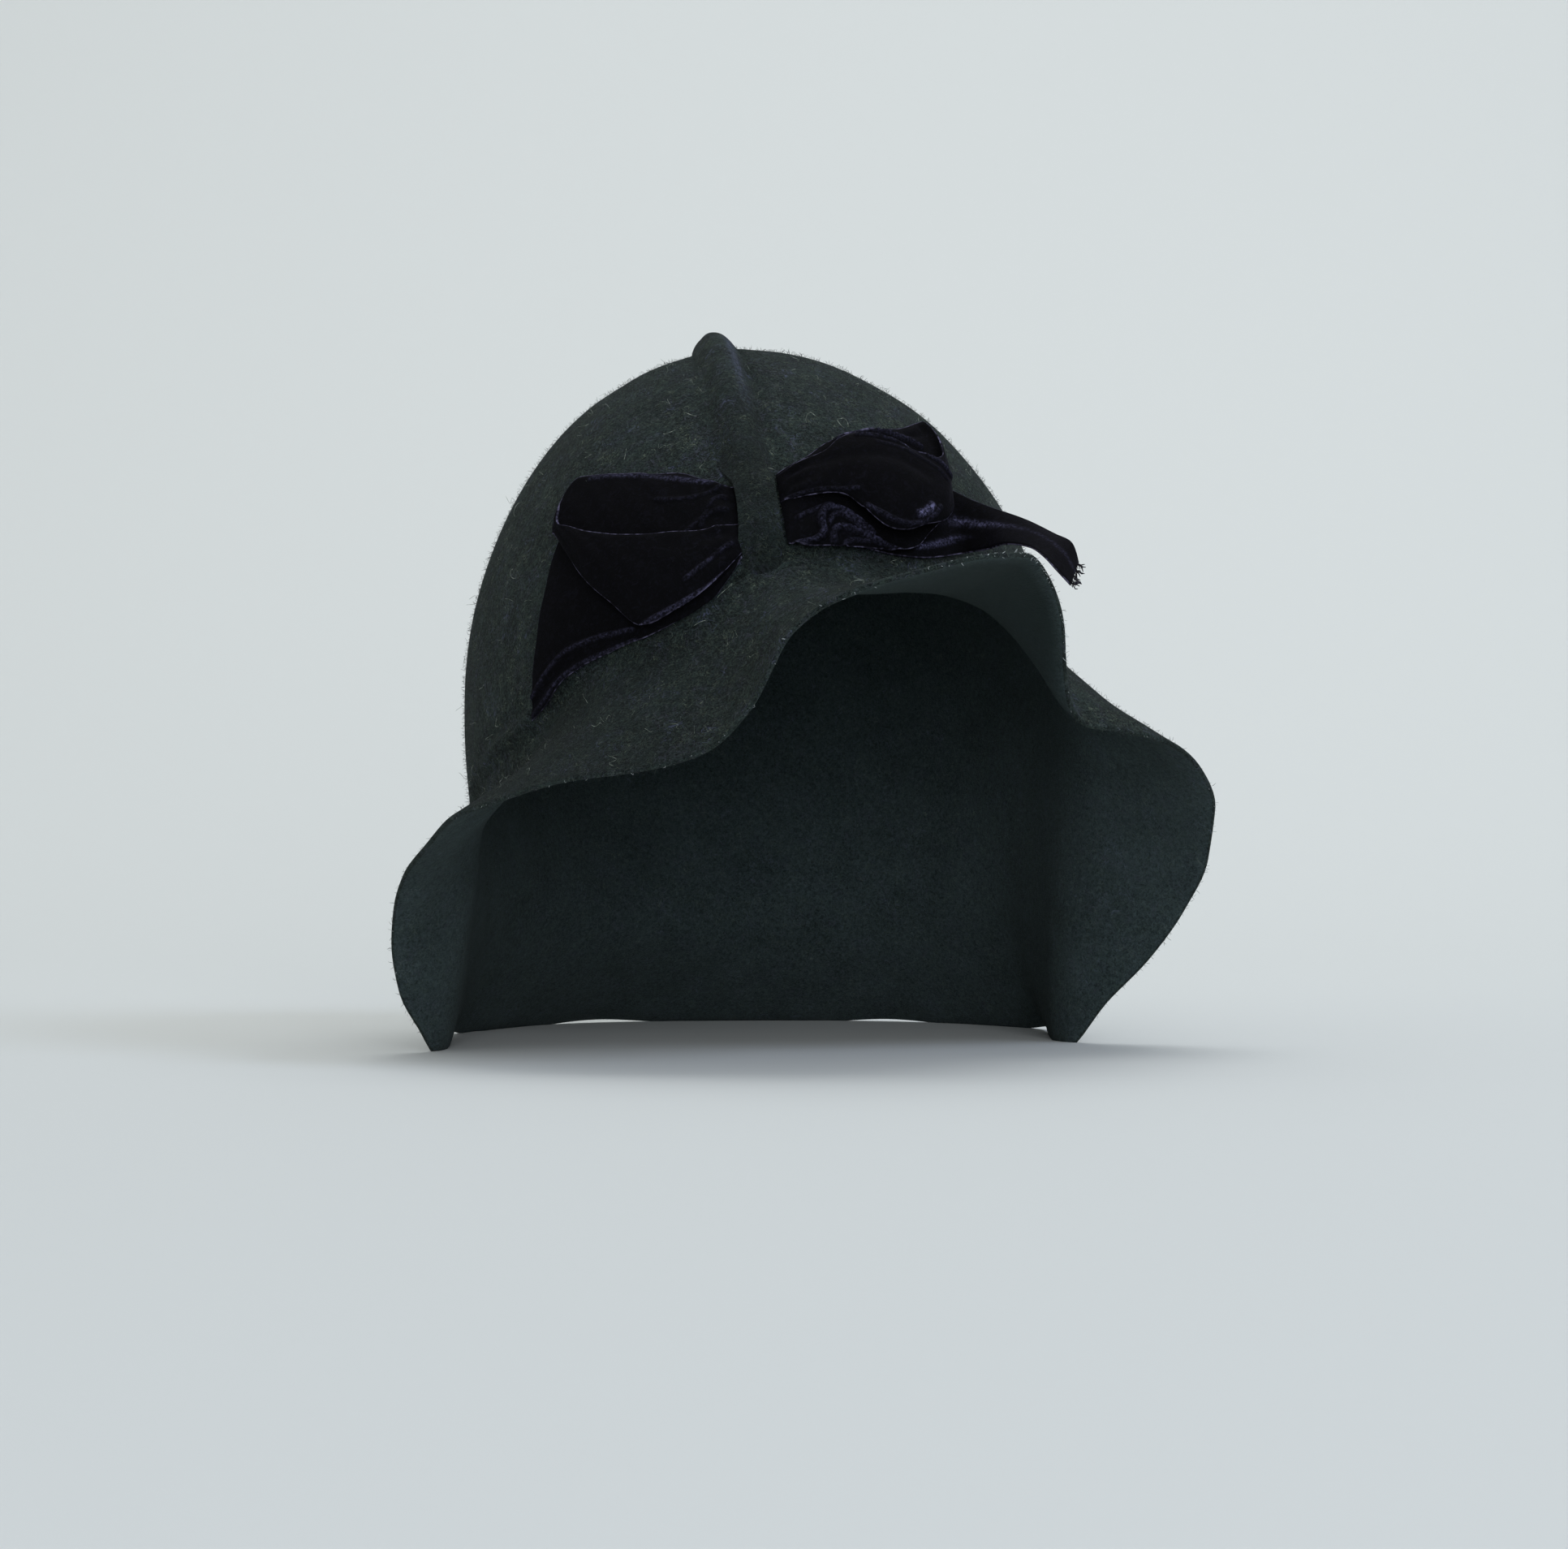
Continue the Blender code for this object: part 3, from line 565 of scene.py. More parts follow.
def bent_line(a, b, c, steps=20):
    """Points of a smooth curve from a to c that passes b."""
    a, b, c = (np.array(place, float) for place in (a, b, c))
    pull = 2 * b - (a + c) / 2
    t = np.linspace(0.0, 1.0, steps + 1)[:, None]
    return (1 - t) ** 2 * a + 2 * t * (1 - t) * pull + t ** 2 * c


def bump_along(line, turn, run, wide):
    """How strongly places are under a rounded bump along a line of (turn, run), 0 to 1."""
    scale = np.array([MM_PER_TURN, MM_PER_RUN])
    places = np.stack([turn, run], axis=-1) * scale
    nearest = np.full(turn.shape, np.inf)
    for start, end in zip(line[:-1] * scale, line[1:] * scale):
        way = end - start
        t = np.clip(((places - start) @ way) / max(way @ way, 1e-9), 0.0, 1.0)
        gap = places - start - t[..., None] * way
        nearest = np.minimum(nearest, (gap ** 2).sum(axis=-1))
    return np.exp(-nearest / wide ** 2)


def felt_relief(turn, run):
    """How far the felt stands out of its plain shape, in metres."""
    turn, run = np.broadcast_arrays(turn, run)
    out = np.zeros(turn.shape)
    for dent in DENTS:
        across = (np.mod(turn - dent.turn + 180.0, 360.0) - 180.0) / dent.wide
        down = (run - dent.run) / dent.tall
        out = out + dent.out * np.exp(-across ** 2 - down ** 2)
    for row in FELT_CREASES:
        line = bent_line(row[0:2], row[2:4], row[4:6])
        out = out + row.out * bump_along(line, turn, run, row.wide)
    for row in WAVES:
        wave = np.sin(np.radians(row.waves * turn) + row.phase + 5.0 * run)
        down = np.sin(row.waves * run + row.phase)
        out = out + row.size * wave * down * np.clip(run * 2.5, 0.0, 1.0)
    return out / 1000.0


def mesh_from(name, points, faces, looks=()):
    """A smooth-shaded mesh object with its materials, linked to the scene."""
    mesh = bpy.data.meshes.new(name)
    mesh.from_pydata(np.asarray(points, float).reshape(-1, 3).tolist(), [], faces)
    mesh.update()
    mesh.shade_smooth()
    for look in looks:
        mesh.materials.append(look)
    item = bpy.data.objects.new(name, mesh)
    bpy.context.scene.collection.objects.link(item)
    return item


def add_map(item, title, values):
    """A value at each of the mesh's points, for its look."""
    layer = item.data.attributes.new(title, "FLOAT", "POINT")
    layer.data.foreach_set("value", np.asarray(values, float).ravel())


def grid_faces(rows, columns, first=0, closed=False):
    """Quads of a grid whose points run along its columns, closed round its rows if asked."""
    faces = []
    for i in range(rows if closed else rows - 1):
        here = first + i * columns
        after = first + ((i + 1) % rows) * columns
        for j in range(columns - 1):
            faces.append((here + j, here + j + 1, after + j + 1, after + j))
    return faces


def wall_thickness(run):
    """The felt's thickness there: it is worn thinner towards the brim's cut edge."""
    share = np.clip((run - RIM_FROM) / (2.0 - RIM_FROM), 0.0, 1.0)
    return FELT_THICKNESS + (RIM_THICKNESS - FELT_THICKNESS) * share * share * (3.0 - 2.0 * share)


def felt_wall(turns):
    """The felt's whole section at each turn: down outside, round the cut edge, up inside."""
    outer_runs = np.concatenate([
        (np.arange(CROWN_RINGS) + 1.0) / CROWN_RINGS,
        1.0 + (np.arange(BRIM_RINGS) + 1.0) / BRIM_RINGS,
    ])
    inner_runs = np.concatenate([[2.0], outer_runs[INNER_SHARE - 1::INNER_SHARE][::-1]])
    across = turns[:, None]
    outside = off_felt(across, outer_runs, felt_relief(across, outer_runs))
    inside = off_felt(
        across, inner_runs, felt_relief(across, inner_runs) - wall_thickness(inner_runs))
    outwards = edge_outwards(turns)
    rim = []
    for k in range(1, RIM_ROWS + 1):
        share = k / (RIM_ROWS + 1)
        place = outside[:, -1] + (inside[:, 0] - outside[:, -1]) * share
        rim.append(place + outwards * RIM_ROUND * math.sin(math.pi * share) ** 0.6)
    return np.concatenate([outside, np.stack(rim, axis=1), inside], axis=1)


def shade_by_turn(turns, shade_spot, share):
    """How much painted shade lies on the felt at these turns, by each ring's share of it."""
    return shade_spot.strength * np.exp(-((turns[:, None] - shade_spot.turn) / shade_spot.reach) ** 2) * share


def felt_shade_map(turns, count):
    """Painted shade on the felt, for the points of felt_wall and of the two poles."""
    outer = CROWN_RINGS + BRIM_RINGS
    inner = count - outer - RIM_ROWS
    outer_runs = np.interp(np.arange(outer), [0, CROWN_RINGS - 1, outer - 1], [0.0, 1.0, 2.0])
    inner_runs = np.interp(np.arange(inner), [0, inner], [2.0, 0.0])
    pressed = np.zeros((len(turns), count))
    # Painted shade over the brim's front left
    pressed[:, :outer] = shade_by_turn(turns, BRIM_SHADE, np.clip((outer_runs - 1.0) / 0.2, 0.0, 1.0))
    # Painted shade inside the right flap by its edge, and deep inside the crown
    pressed[:, outer + RIM_ROWS:] = np.maximum(
        shade_by_turn(turns, FLAP_SHADE, np.clip((2.0 - inner_runs) / 0.08, 0.0, 1.0)),
        INSIDE_SHADE * np.clip((1.15 - inner_runs) / 0.3, 0.0, 1.0),
    )
    return np.concatenate([pressed.ravel(), [0.0, INSIDE_SHADE]])


def add_felt_body(looks):
    """Crown and brim in one piece, flat where the brim rests. looks: outside, inside, cut edge."""
    turns = section_turns(FELT_SECTIONS)
    wall = felt_wall(turns)
    count = wall.shape[1]
    pole = crown_point(0.0, 0.0)
    pole_normal = felt_normal(0.0, 0.01)
    points = np.concatenate([wall.reshape(-1, 3), [pole, pole - pole_normal * FELT_THICKNESS]])
    points = points - MIDDLE
    points[:, 2] = np.maximum(points[:, 2], 0.0)
    faces = grid_faces(FELT_SECTIONS, count, closed=True)
    top = FELT_SECTIONS * count
    for i in range(FELT_SECTIONS):
        here = i * count
        after = ((i + 1) % FELT_SECTIONS) * count
        faces.append((top, here, after))
        faces.append((top + 1, after + count - 1, here + count - 1))
    item = mesh_from("felt_crown_and_brim", points, faces, looks)
    # Painted shade, which darkens the felt's colour in its look
    add_map(item, "pressed", felt_shade_map(turns, count))
    outer = CROWN_RINGS + BRIM_RINGS
    slots = np.zeros(len(faces), int)
    per_section = np.arange(count - 1)
    kinds = np.where(per_section < outer - 1, 0, np.where(per_section < outer + RIM_ROWS, 2, 1))
    slots[:FELT_SECTIONS * (count - 1)] = np.tile(kinds, FELT_SECTIONS)
    slots[FELT_SECTIONS * (count - 1) + 1::2] = 1
    item.data.polygons.foreach_set("material_index", slots.astype(np.int32))
    return item


def interpolated(rows, steps):
    """Rows with steps sections from one row to the next, on a smooth curve through them all."""
    table = np.array(rows, float)
    last = len(table) - 1
    made = []
    for i in range(last):
        before = table[max(i - 1, 0)]
        after = table[min(i + 2, last)]
        for k in range(steps):
            t = k / steps
            pull = -before + 3 * table[i] - 3 * table[i + 1] + after
            bend = 2 * before - 5 * table[i] + 4 * table[i + 1] - after
            straight = 2 * table[i] + (table[i + 1] - before) * t
            made.append(0.5 * (straight + bend * t ** 2 + pull * t ** 3))
    made.append(table[last])
    return np.array(made)


def ridge_point(run, across, height):
    """Points over the crown's front line: across to the right of it, height off the felt."""
    depth = run * float(break_depth(0.0))
    width = CROWN_WIDTH / 2
    spread = np.sqrt(1.0 - (across / width) ** 2)
    up = CROWN_RISE * np.cos(depth) * spread
    back = -CROWN_LENGTH / 2 * np.sin(depth) * spread
    normal = unit(np.stack([
        across / width ** 2, back / (CROWN_LENGTH / 2) ** 2, up / CROWN_RISE ** 2,
    ], axis=-1))
    place = np.stack([across, back, up], axis=-1) + normal * height[..., None]
    return crown_to_hat(place[..., 0], place[..., 1], place[..., 2])


def bell(share, blunt):
    """A tuck's section: round on top, flat on its right side and, unless blunt, on its left."""
    top = np.where(share > 0.0, *RIDGE_TOP_POWERS)
    soft = (1.0 - np.abs(share) ** top) ** np.where(share > 0.0, *RIDGE_FOOT_POWERS)
    upright = np.sqrt(1.0 - np.abs(share) ** KNOB_POWER)
    return soft + (upright - soft) * np.where(share < 0.0, np.clip(blunt, 0.0, 1.0), 0.0)


def add_ridge(look):
    """The stitched tuck, rising out of the felt on both sides."""
    rows = interpolated(RIDGE, RIDGE_STEPS)
    run, across, wide, high, lip, blunt = (column[:, None] for column in rows.T)
    share = np.sin(np.linspace(-1.0, 1.0, RIDGE_CELLS + 1) * math.pi / 2)[None, :]
    reach = RIDGE_SPREAD - np.maximum(lip, 0.0) + np.where(share > 0.0, RIDGE_TRAIL * blunt, 0.0)
    offset = RIDGE_WIDTH * (across + wide / 2 * reach * share)
    height = RIDGE_HEIGHT * (lip + (high - lip) * bell(share, blunt))
    height = height + RIDGE_RIPPLE * np.sin(run * RIDGE_RIPPLES) * bell(share, blunt)
    run, offset, height = np.broadcast_arrays(run, offset, height)
    top = ridge_point(run, offset, height)
    root = ridge_point(run, offset, np.full(height.shape, -RIDGE_ROOT))
    item = closed_slab("felt_ridge", top - MIDDLE, root - MIDDLE, [look])
    # A highlight painted as a pale violet streak along the ridge's right side
    worn = RIDGE_HIGHLIGHT * np.exp(-((share - HIGHLIGHT_ACROSS) / HIGHLIGHT_WIDE) ** 2)
    worn = worn * np.clip(1.6 - 1.5 * np.abs(run - HIGHLIGHT_RUN) / 0.3, 0.0, 1.0)
    add_map(item, "worn", np.stack([worn, worn]))
    # Painted shade over the ridge's foot between the ribbons
    pressed = np.clip((run - FOOT_FROM) / 0.25, 0.0, 1.0) * FOOT_SHADE
    add_map(item, "pressed", np.stack([pressed, pressed]))
    return item


def closed_slab(name, top, root, looks):
    """A closed body between two grids of the same size, top facing outwards."""
    rows, columns = top.shape[:2]
    points = np.concatenate([top.reshape(-1, 3), root.reshape(-1, 3)])
    faces = grid_faces(rows, columns)
    below = rows * columns
    faces += [tuple(below + k for k in reversed(face)) for face in grid_faces(rows, columns)]
    border = list(range(columns))
    border += [i * columns + columns - 1 for i in range(1, rows)]
    border += [(rows - 1) * columns + j for j in range(columns - 2, -1, -1)]
    border += [i * columns for i in range(rows - 2, 0, -1)]
    for k, here in enumerate(border):
        after = border[(k + 1) % len(border)]
        faces.append((after, here, below + here, below + after))
    return mesh_from(name, points, faces, looks)


def grid_normals(grid):
    """Directions off a grid of points, from its own steps."""
    return unit(np.cross(np.gradient(grid, axis=1), np.gradient(grid, axis=0)))


def ribbon_grid(piece, folds, side):
    """Points and painted highlights of a ribbon that starts at the ridge's side and follows the
    folds.
    """
    rows = interpolated(folds, RIBBON_STEPS)
    v = np.linspace(0.0, 1.0, RIBBON_CELLS + 1)[None, :]
    top_away, top_run, low_away, low_run, layer, puff, belly = (c[:, None] for c in rows.T)
    away = top_away + v * (low_away - top_away)
    run = top_run + v * (low_run - top_run)
    part = np.linspace(0.0, 1.0, len(rows))[:, None] > FRONT_FROM.get(piece, 2.0)
    height = CLEARANCE + RIBBON_THICKNESS / 2 + layer * (RIBBON_THICKNESS + CLEARANCE)
    height = height + BOW_DEPTH * (puff + belly * np.sin(math.pi * v) ** 0.8)
    crush = np.zeros(away.shape)
    for row in CREASES[piece]:
        line = bent_line(row[1:3], row[3:5], row[5:7])
        bump = bump_along(line, away, run, row.wide) * (part == bool(row.part))
        height = height + row.out / 1000.0 * bump
        # Painted highlight along the crease
        crush = np.maximum(crush, row.crushed * bump ** 2)
    gather = np.exp(-np.maximum(away, 0.0) / GATHER_FADE) * np.clip(away / GATHER_START, 0.0, 1.0)
    gathers = np.sin(2 * math.pi * (GATHERS * v + 0.15) + 0.5 * part)
    height = height + GATHER_HEIGHT * gather * gathers
    ripple = np.sin(0.55 * away + 7.0 * v)
    height = height + RIPPLE_HEIGHT * ripple * np.sin(9.0 * v + 0.3 * away)
    return off_felt(RIDGE_SIDE[side] + side * away, run, height), crush


def bridge_grid(first):
    """Points and painted highlight of the right tail's free stretch, from its last line on the
    crown.
    """
    edge_top = edge_point(RIDGE_SIDE[1] + BRIDGE_TOP)
    edge_low = edge_point(RIDGE_SIDE[1] + BRIDGE_LOW)
    v = np.linspace(0.0, 1.0, RIBBON_CELLS + 1)[:, None]
    lines = []
    highlights = []
    for row in interpolated(BRIDGE, RIBBON_STEPS)[1:]:
        span = Span(*row)
        top = first[0] + (edge_top - first[0]) * span.along_top
        top = top + BOW_DEPTH * np.array([span.out_top, 0.0, span.up_top])
        low = first[-1] + (edge_low - first[-1]) * span.along_low
        low = low + BOW_DEPTH * np.array([span.out_low, 0.0, span.up_low])
        own = first - (first[0] + (first[-1] - first[0]) * v)
        line = top + (low - top) * v + own * max(0.0, 1.0 - 3.0 * span.along_top)
        curl = span.curl * BOW_DEPTH * np.sin(math.pi * v) ** 1.5
        lines.append(line + curl * np.array(CURL_WAY))
        # Painted highlight along a fold, strongest where the tail leaves the crown
        lit = 0.12 + 0.55 * max(0.0, 1.0 - 1.8 * span.along_top)
        highlights.append(lit * np.exp(-((v[:, 0] - LIT_MIDDLE) / LIT_REACH) ** 2))
    return np.array(lines), np.array(highlights)


def eased(rows, middle):
    """The same rows with the change of direction at the middle one spread over its neighbours."""
    rows = rows.copy()
    first, last = middle - JOINT_REACH, middle + JOINT_REACH
    for _ in range(JOINT_ROUNDS):
        around = (rows[first - 1:last - 1] + rows[first + 1:last + 1]) / 2
        rows[first:last] = (rows[first:last] + around) / 2
    return rows


def add_ribbon(name, grid, crush, look, flip):
    """A ribbon strip, its thickness to both sides of the grid; returns its flat size too."""
    if flip:
        grid = grid[:, ::-1]
        crush = crush[:, ::-1]
    normal = grid_normals(grid)
    across = np.linspace(0.0, 1.0, grid.shape[1])
    from_edge = np.minimum(across, 1.0 - across)
    taper = np.minimum(1.0, EDGE_THIN + EDGE_SWELL * from_edge)[None, :, None]
    half = normal * VELVET_THICKNESS / 2 * taper
    item = closed_slab(name, grid - half - MIDDLE, grid + half - MIDDLE, [look])
    item.data.flip_normals()
    step_along = np.linalg.norm(np.diff(grid, axis=0), axis=-1).mean(axis=1)
    along = np.concatenate([[0.0], np.cumsum(step_along)])
    width = np.linalg.norm(np.diff(grid, axis=1), axis=-1).sum(axis=1)
    edge_gap = from_edge[None, :] * width[:, None]
    add_map(item, "crush", np.stack([crush, crush]))
    add_map(item, "edge_gap", np.stack([edge_gap, edge_gap]))
    ribbon_length = float(along[-1])
    area = float((width[:-1] * step_along).sum())
    return item, (area / ribbon_length, ribbon_length)


def linear(code):
    """Linear colour, with full alpha, of an sRGB hex code."""
    channels = [int(code[i:i + 2], 16) / 255 for i in (1, 3, 5)]
    return [c / 12.92 if c <= 0.04045 else ((c + 0.055) / 1.055) ** 2.4 for c in channels] + [1.0]


def add_node(tree, kind, output, inputs, **settings):
    """Add a node with its settings; inputs take values or sockets. Returns the named output."""
    node = tree.nodes.new(kind)
    for name, value in settings.items():
        setattr(node, name, value)
    for key, value in inputs.items():
        if isinstance(value, bpy.types.NodeSocket):
            tree.links.new(value, node.inputs[key])
        else:
            node.inputs[key].default_value = value
    return node.outputs[output] if output is not None else node


def new_look(name, values):
    """A material with its node tree and its Principled shader, set to these even values."""
    made = bpy.data.materials.new(name)
    made.use_nodes = True
    shader = made.node_tree.nodes["Principled BSDF"]
    for title, value in values.items():
        shader.inputs[title].default_value = value
    return made, made.node_tree, shader


def per_mm(size):
    """Texture scale at which a pattern's features are size millimetres apart."""
    return 1000.0 / size


# The felt's three looks: outside, inside and cut edge. The inside is the same felt painted paler,
# as painted bounce light. nap: how much of it is raised and pale. rough_mm: depth of its relief.
# mottle: breadth of the range over which dark turns light, round MOTTLE_MIDDLE.
FELT_LOOKS = [
    ("wool_felt_brushed", "#010404", "#263130", "#87927D", "#5A5F7C", 0.62, 0.80, 0.19),
    # Inside: painted paler than the outside, as painted bounce light on the brim's underside
    ("wool_felt_pressed_underside", "#141D1D", "#3E4A4C", "#6B766C", "#5C6378", 0.30, 0.35, 0.40),
    ("wool_felt_cut_edge", "#090F0F", "#2B3533", "#6C7774", "#5C6276", 0.50, 0.45, 0.19),
]
MOTTLE_MIDDLE = 0.625


def felt_look(name, dark, light, fleck, stray_hair_and_highlight, nap, rough_mm, mottle):
    """Felted and brushed wool: matt, mottled by its fibres, with pale flecks caught in the nap."""
    # Light that grazes the nap is scattered back as a faint cool bloom
    made, tree, shader = new_look(name, {
        "Roughness": 0.97, "Specular IOR Level": 0.10,
        "Sheen Weight": 0.09, "Sheen Roughness": 0.55, "Sheen Tint": linear("#A9B8B4"),
    })
    place = add_node(tree, "ShaderNodeTexCoord", "Object", {})
    # Clouds of thicker nap over single dark fibres keep the black from ever being even
    cloud = add_node(tree, "ShaderNodeTexNoise", 0, {
        "Vector": place, "Scale": per_mm(14.0), "Detail": 3.0, "Roughness": 0.5,
    })
    fibre = add_node(tree, "ShaderNodeTexNoise", 0, {
        "Vector": place, "Scale": per_mm(0.9), "Detail": 5.0, "Roughness": 0.72, "Distortion": 1.2,
    })
    both = add_node(tree, "ShaderNodeMath", 0, {
        0: cloud, 1: 0.20, 2: fibre,
    }, operation="MULTIPLY_ADD")
    thick = add_node(tree, "ShaderNodeMapRange", 0, {
        "Value": both,
        "From Min": MOTTLE_MIDDLE - 0.5 * mottle, "From Max": MOTTLE_MIDDLE + 0.5 * mottle,
    })
    colour = add_node(tree, "ShaderNodeMix", 2, {
        0: thick, 6: linear(dark), 7: linear(light),
    }, data_type="RGBA")
    # Curled tufts of brushed nap catch the light, some greenish and some violet with age
    tuft = add_node(tree, "ShaderNodeTexNoise", 0, {
        "Vector": place, "Scale": per_mm(2.3), "Detail": 4.0, "Roughness": 0.74, "Distortion": 3.0,
    })
    raised = add_node(tree, "ShaderNodeMapRange", 0, {
        "Value": tuft, "From Min": 0.50, "From Max": 0.66, "To Max": nap,
    })
    age = add_node(tree, "ShaderNodeTexNoise", 0, {
        "Vector": place, "Scale": per_mm(5.0), "Detail": 2.0, "Roughness": 0.6,
    })
    aged = add_node(tree, "ShaderNodeMapRange", 0, {
        "Value": age, "From Min": 0.46, "From Max": 0.60,
    })
    tip = add_node(tree, "ShaderNodeMix", 2, {
        0: aged, 6: linear("#465249"), 7: linear("#494A57"),
    }, data_type="RGBA")
    colour = add_node(tree, "ShaderNodeMix", 2, {0: raised, 6: colour, 7: tip}, data_type="RGBA")
    # Loose paler hairs lie on it as fine broken curved lines
    for size, share, tint in ((3.4, 0.8, fleck), (1.9, 0.55, fleck), (5.2, 1.0, stray_hair_and_highlight)):
        field = add_node(tree, "ShaderNodeTexNoise", 0, {
            "Vector": place, "Scale": per_mm(size), "Detail": 1.5, "Distortion": 2.2,
        })
        off = add_node(tree, "ShaderNodeMath", 0, {0: field, 1: 0.5}, operation="SUBTRACT")
        away = add_node(tree, "ShaderNodeMath", 0, {0: off}, operation="ABSOLUTE")
        line = add_node(tree, "ShaderNodeMapRange", 0, {
            "Value": away, "From Min": 0.0, "From Max": 0.016, "To Min": nap * share, "To Max": 0.0,
        })
        patch = add_node(tree, "ShaderNodeTexNoise", 0, {
            "Vector": place, "Scale": per_mm(size * 1.7), "Detail": 2.0,
        })
        kept = add_node(tree, "ShaderNodeMapRange", 0, {
            "Value": patch, "From Min": 0.55, "From Max": 0.64,
        })
        hair = add_node(tree, "ShaderNodeMath", 0, {0: line, 1: kept}, operation="MULTIPLY")
        colour = add_node(tree, "ShaderNodeMix", 2, {
            0: hair, 6: colour, 7: linear(tint),
        }, data_type="RGBA")
    # A painted highlight streak turns the felt violet grey, broken by its fibres, and painted shade
    # darkens it
    worn = add_node(tree, "ShaderNodeAttribute", "Fac", {}, attribute_name="worn")
    highlight_grain = add_node(tree, "ShaderNodeMapRange", 0, {
        "Value": fibre, "From Min": 0.44, "From Max": 0.58, "To Max": 0.95,
    })
    share = add_node(tree, "ShaderNodeMath", 0, {0: worn, 1: highlight_grain}, operation="MULTIPLY")
    pressed = add_node(tree, "ShaderNodeAttribute", "Fac", {}, attribute_name="pressed")
    for amount, tint in ((share, stray_hair_and_highlight), (pressed, dark)):
        colour = add_node(tree, "ShaderNodeMix", 2, {
            0: amount, 6: colour, 7: linear(tint),
        }, data_type="RGBA")
    tree.links.new(colour, shader.inputs["Base Color"])
    # The relief of matted fibre breaks up every highlight
    fine = add_node(tree, "ShaderNodeTexNoise", 0, {
        "Vector": place, "Scale": per_mm(0.42), "Detail": 3.0, "Roughness": 0.6,
    })
    relief = add_node(tree, "ShaderNodeMath", 0, {0: fibre, 1: fine}, operation="ADD")
    bump = add_node(tree, "ShaderNodeBump", 0, {
        "Height": relief, "Strength": 0.85, "Distance": rough_mm / 1000.0,
    })
    tree.links.new(bump, shader.inputs["Normal"])
    return made


def velvet_look(name, ground, crushed, sheen):
    """Cut pile woven in rayon: near black face on, violet where the pile leans, with painted fold
    highlights.
    """
    made, tree, shader = new_look(name, {
        "Roughness": 0.92, "Specular IOR Level": 0.05,
        "Sheen Weight": 0.09, "Sheen Roughness": 0.28, "Sheen Tint": linear(sheen),
    })
    place = add_node(tree, "ShaderNodeTexCoord", "Object", {})
    crush = add_node(tree, "ShaderNodeAttribute", "Fac", {}, attribute_name="crush")
    gap = add_node(tree, "ShaderNodeAttribute", "Fac", {}, attribute_name="edge_gap")
    streak = add_node(tree, "ShaderNodeTexNoise", 0, {
        "Vector": place, "Scale": per_mm(2.2), "Detail": 5.0, "Roughness": 0.7, "Distortion": 1.6,
    })
    # Highlights painted along the folds show as broken violet streaks
    torn = add_node(tree, "ShaderNodeMapRange", 0, {
        "Value": streak, "From Min": 0.38, "From Max": 0.62, "To Min": 0.25,
    })
    tuft = add_node(tree, "ShaderNodeTexNoise", 0, {
        "Vector": place, "Scale": per_mm(0.7), "Detail": 3.0, "Roughness": 0.7,
    })
    lit = add_node(tree, "ShaderNodeMapRange", 0, {
        "Value": tuft, "From Min": 0.42, "From Max": 0.62, "To Min": 0.12, "To Max": 1.35,
    })
    shown = add_node(tree, "ShaderNodeMath", 0, {0: torn, 1: lit}, operation="MULTIPLY")
    broken = add_node(tree, "ShaderNodeMath", 0, {0: crush, 1: shown}, operation="MULTIPLY")
    haze = add_node(tree, "ShaderNodeMapRange", 0, {
        "Value": streak, "From Min": 0.50, "From Max": 0.80, "To Max": 0.025,
    })
    share = add_node(tree, "ShaderNodeMath", 0, {0: broken, 1: haze}, operation="MAXIMUM")
    face = add_node(tree, "ShaderNodeMix", 2, {
        0: share, 6: linear(ground), 7: linear(crushed),
    }, data_type="RGBA")
    # A paler line along both edges: the woven selvedge's bare thread, and a painted highlight where
    # an edge lies along a fold
    thread = add_node(tree, "ShaderNodeTexNoise", 0, {
        "Vector": place, "Scale": per_mm(1.4), "Detail": 2.0,
    })
    bare = add_node(tree, "ShaderNodeMapRange", 0, {
        "Value": thread, "From Min": 0.42, "From Max": 0.62, "To Min": 0.08, "To Max": 0.95,
    })
    selvedge = add_node(tree, "ShaderNodeMapRange", 0, {
        "Value": gap, "From Min": 0.00034, "From Max": 0.00004,
    })
    worn = add_node(tree, "ShaderNodeMath", 0, {0: selvedge, 1: bare}, operation="MULTIPLY")
    edged = add_node(tree, "ShaderNodeMix", 2, {
        0: worn, 6: face, 7: linear("#66637C"),
    }, data_type="RGBA")
    tree.links.new(edged, shader.inputs["Base Color"])
    pile = add_node(tree, "ShaderNodeTexNoise", 0, {
        "Vector": place, "Scale": per_mm(0.22), "Detail": 2.0, "Roughness": 0.55,
    })
    relief = add_node(tree, "ShaderNodeMath", 0, {0: pile, 1: streak}, operation="ADD")
    bump = add_node(tree, "ShaderNodeBump", 0, {
        "Height": relief, "Strength": 0.55, "Distance": 0.00022,
    })
    tree.links.new(bump, shader.inputs["Normal"])
    return made


def fibre_look(name, dark, light):
    """Loose spun or matted fibre, dull and unlike from one hair to the next."""
    made, tree, shader = new_look(name, {
        "Roughness": 0.95, "Specular IOR Level": 0.15, "Sheen Weight": 0.1,
    })
    place = add_node(tree, "ShaderNodeTexCoord", "Object", {})
    field = add_node(tree, "ShaderNodeTexNoise", 0, {"Vector": place, "Scale": per_mm(1.1)})
    tone = add_node(tree, "ShaderNodeMapRange", 0, {
        "Value": field, "From Min": 0.46, "From Max": 0.66,
    })
    colour = add_node(tree, "ShaderNodeMix", 2, {
        0: tone, 6: linear(dark), 7: linear(light),
    }, data_type="RGBA")
    tree.links.new(colour, shader.inputs["Base Color"])
    return made


def plain_look(name, colour, roughness):
    """An even, matt surface: one colour, one roughness."""
    return new_look(name, {
        "Base Color": linear(colour), "Roughness": roughness, "Specular IOR Level": 0.2,
    })[0]


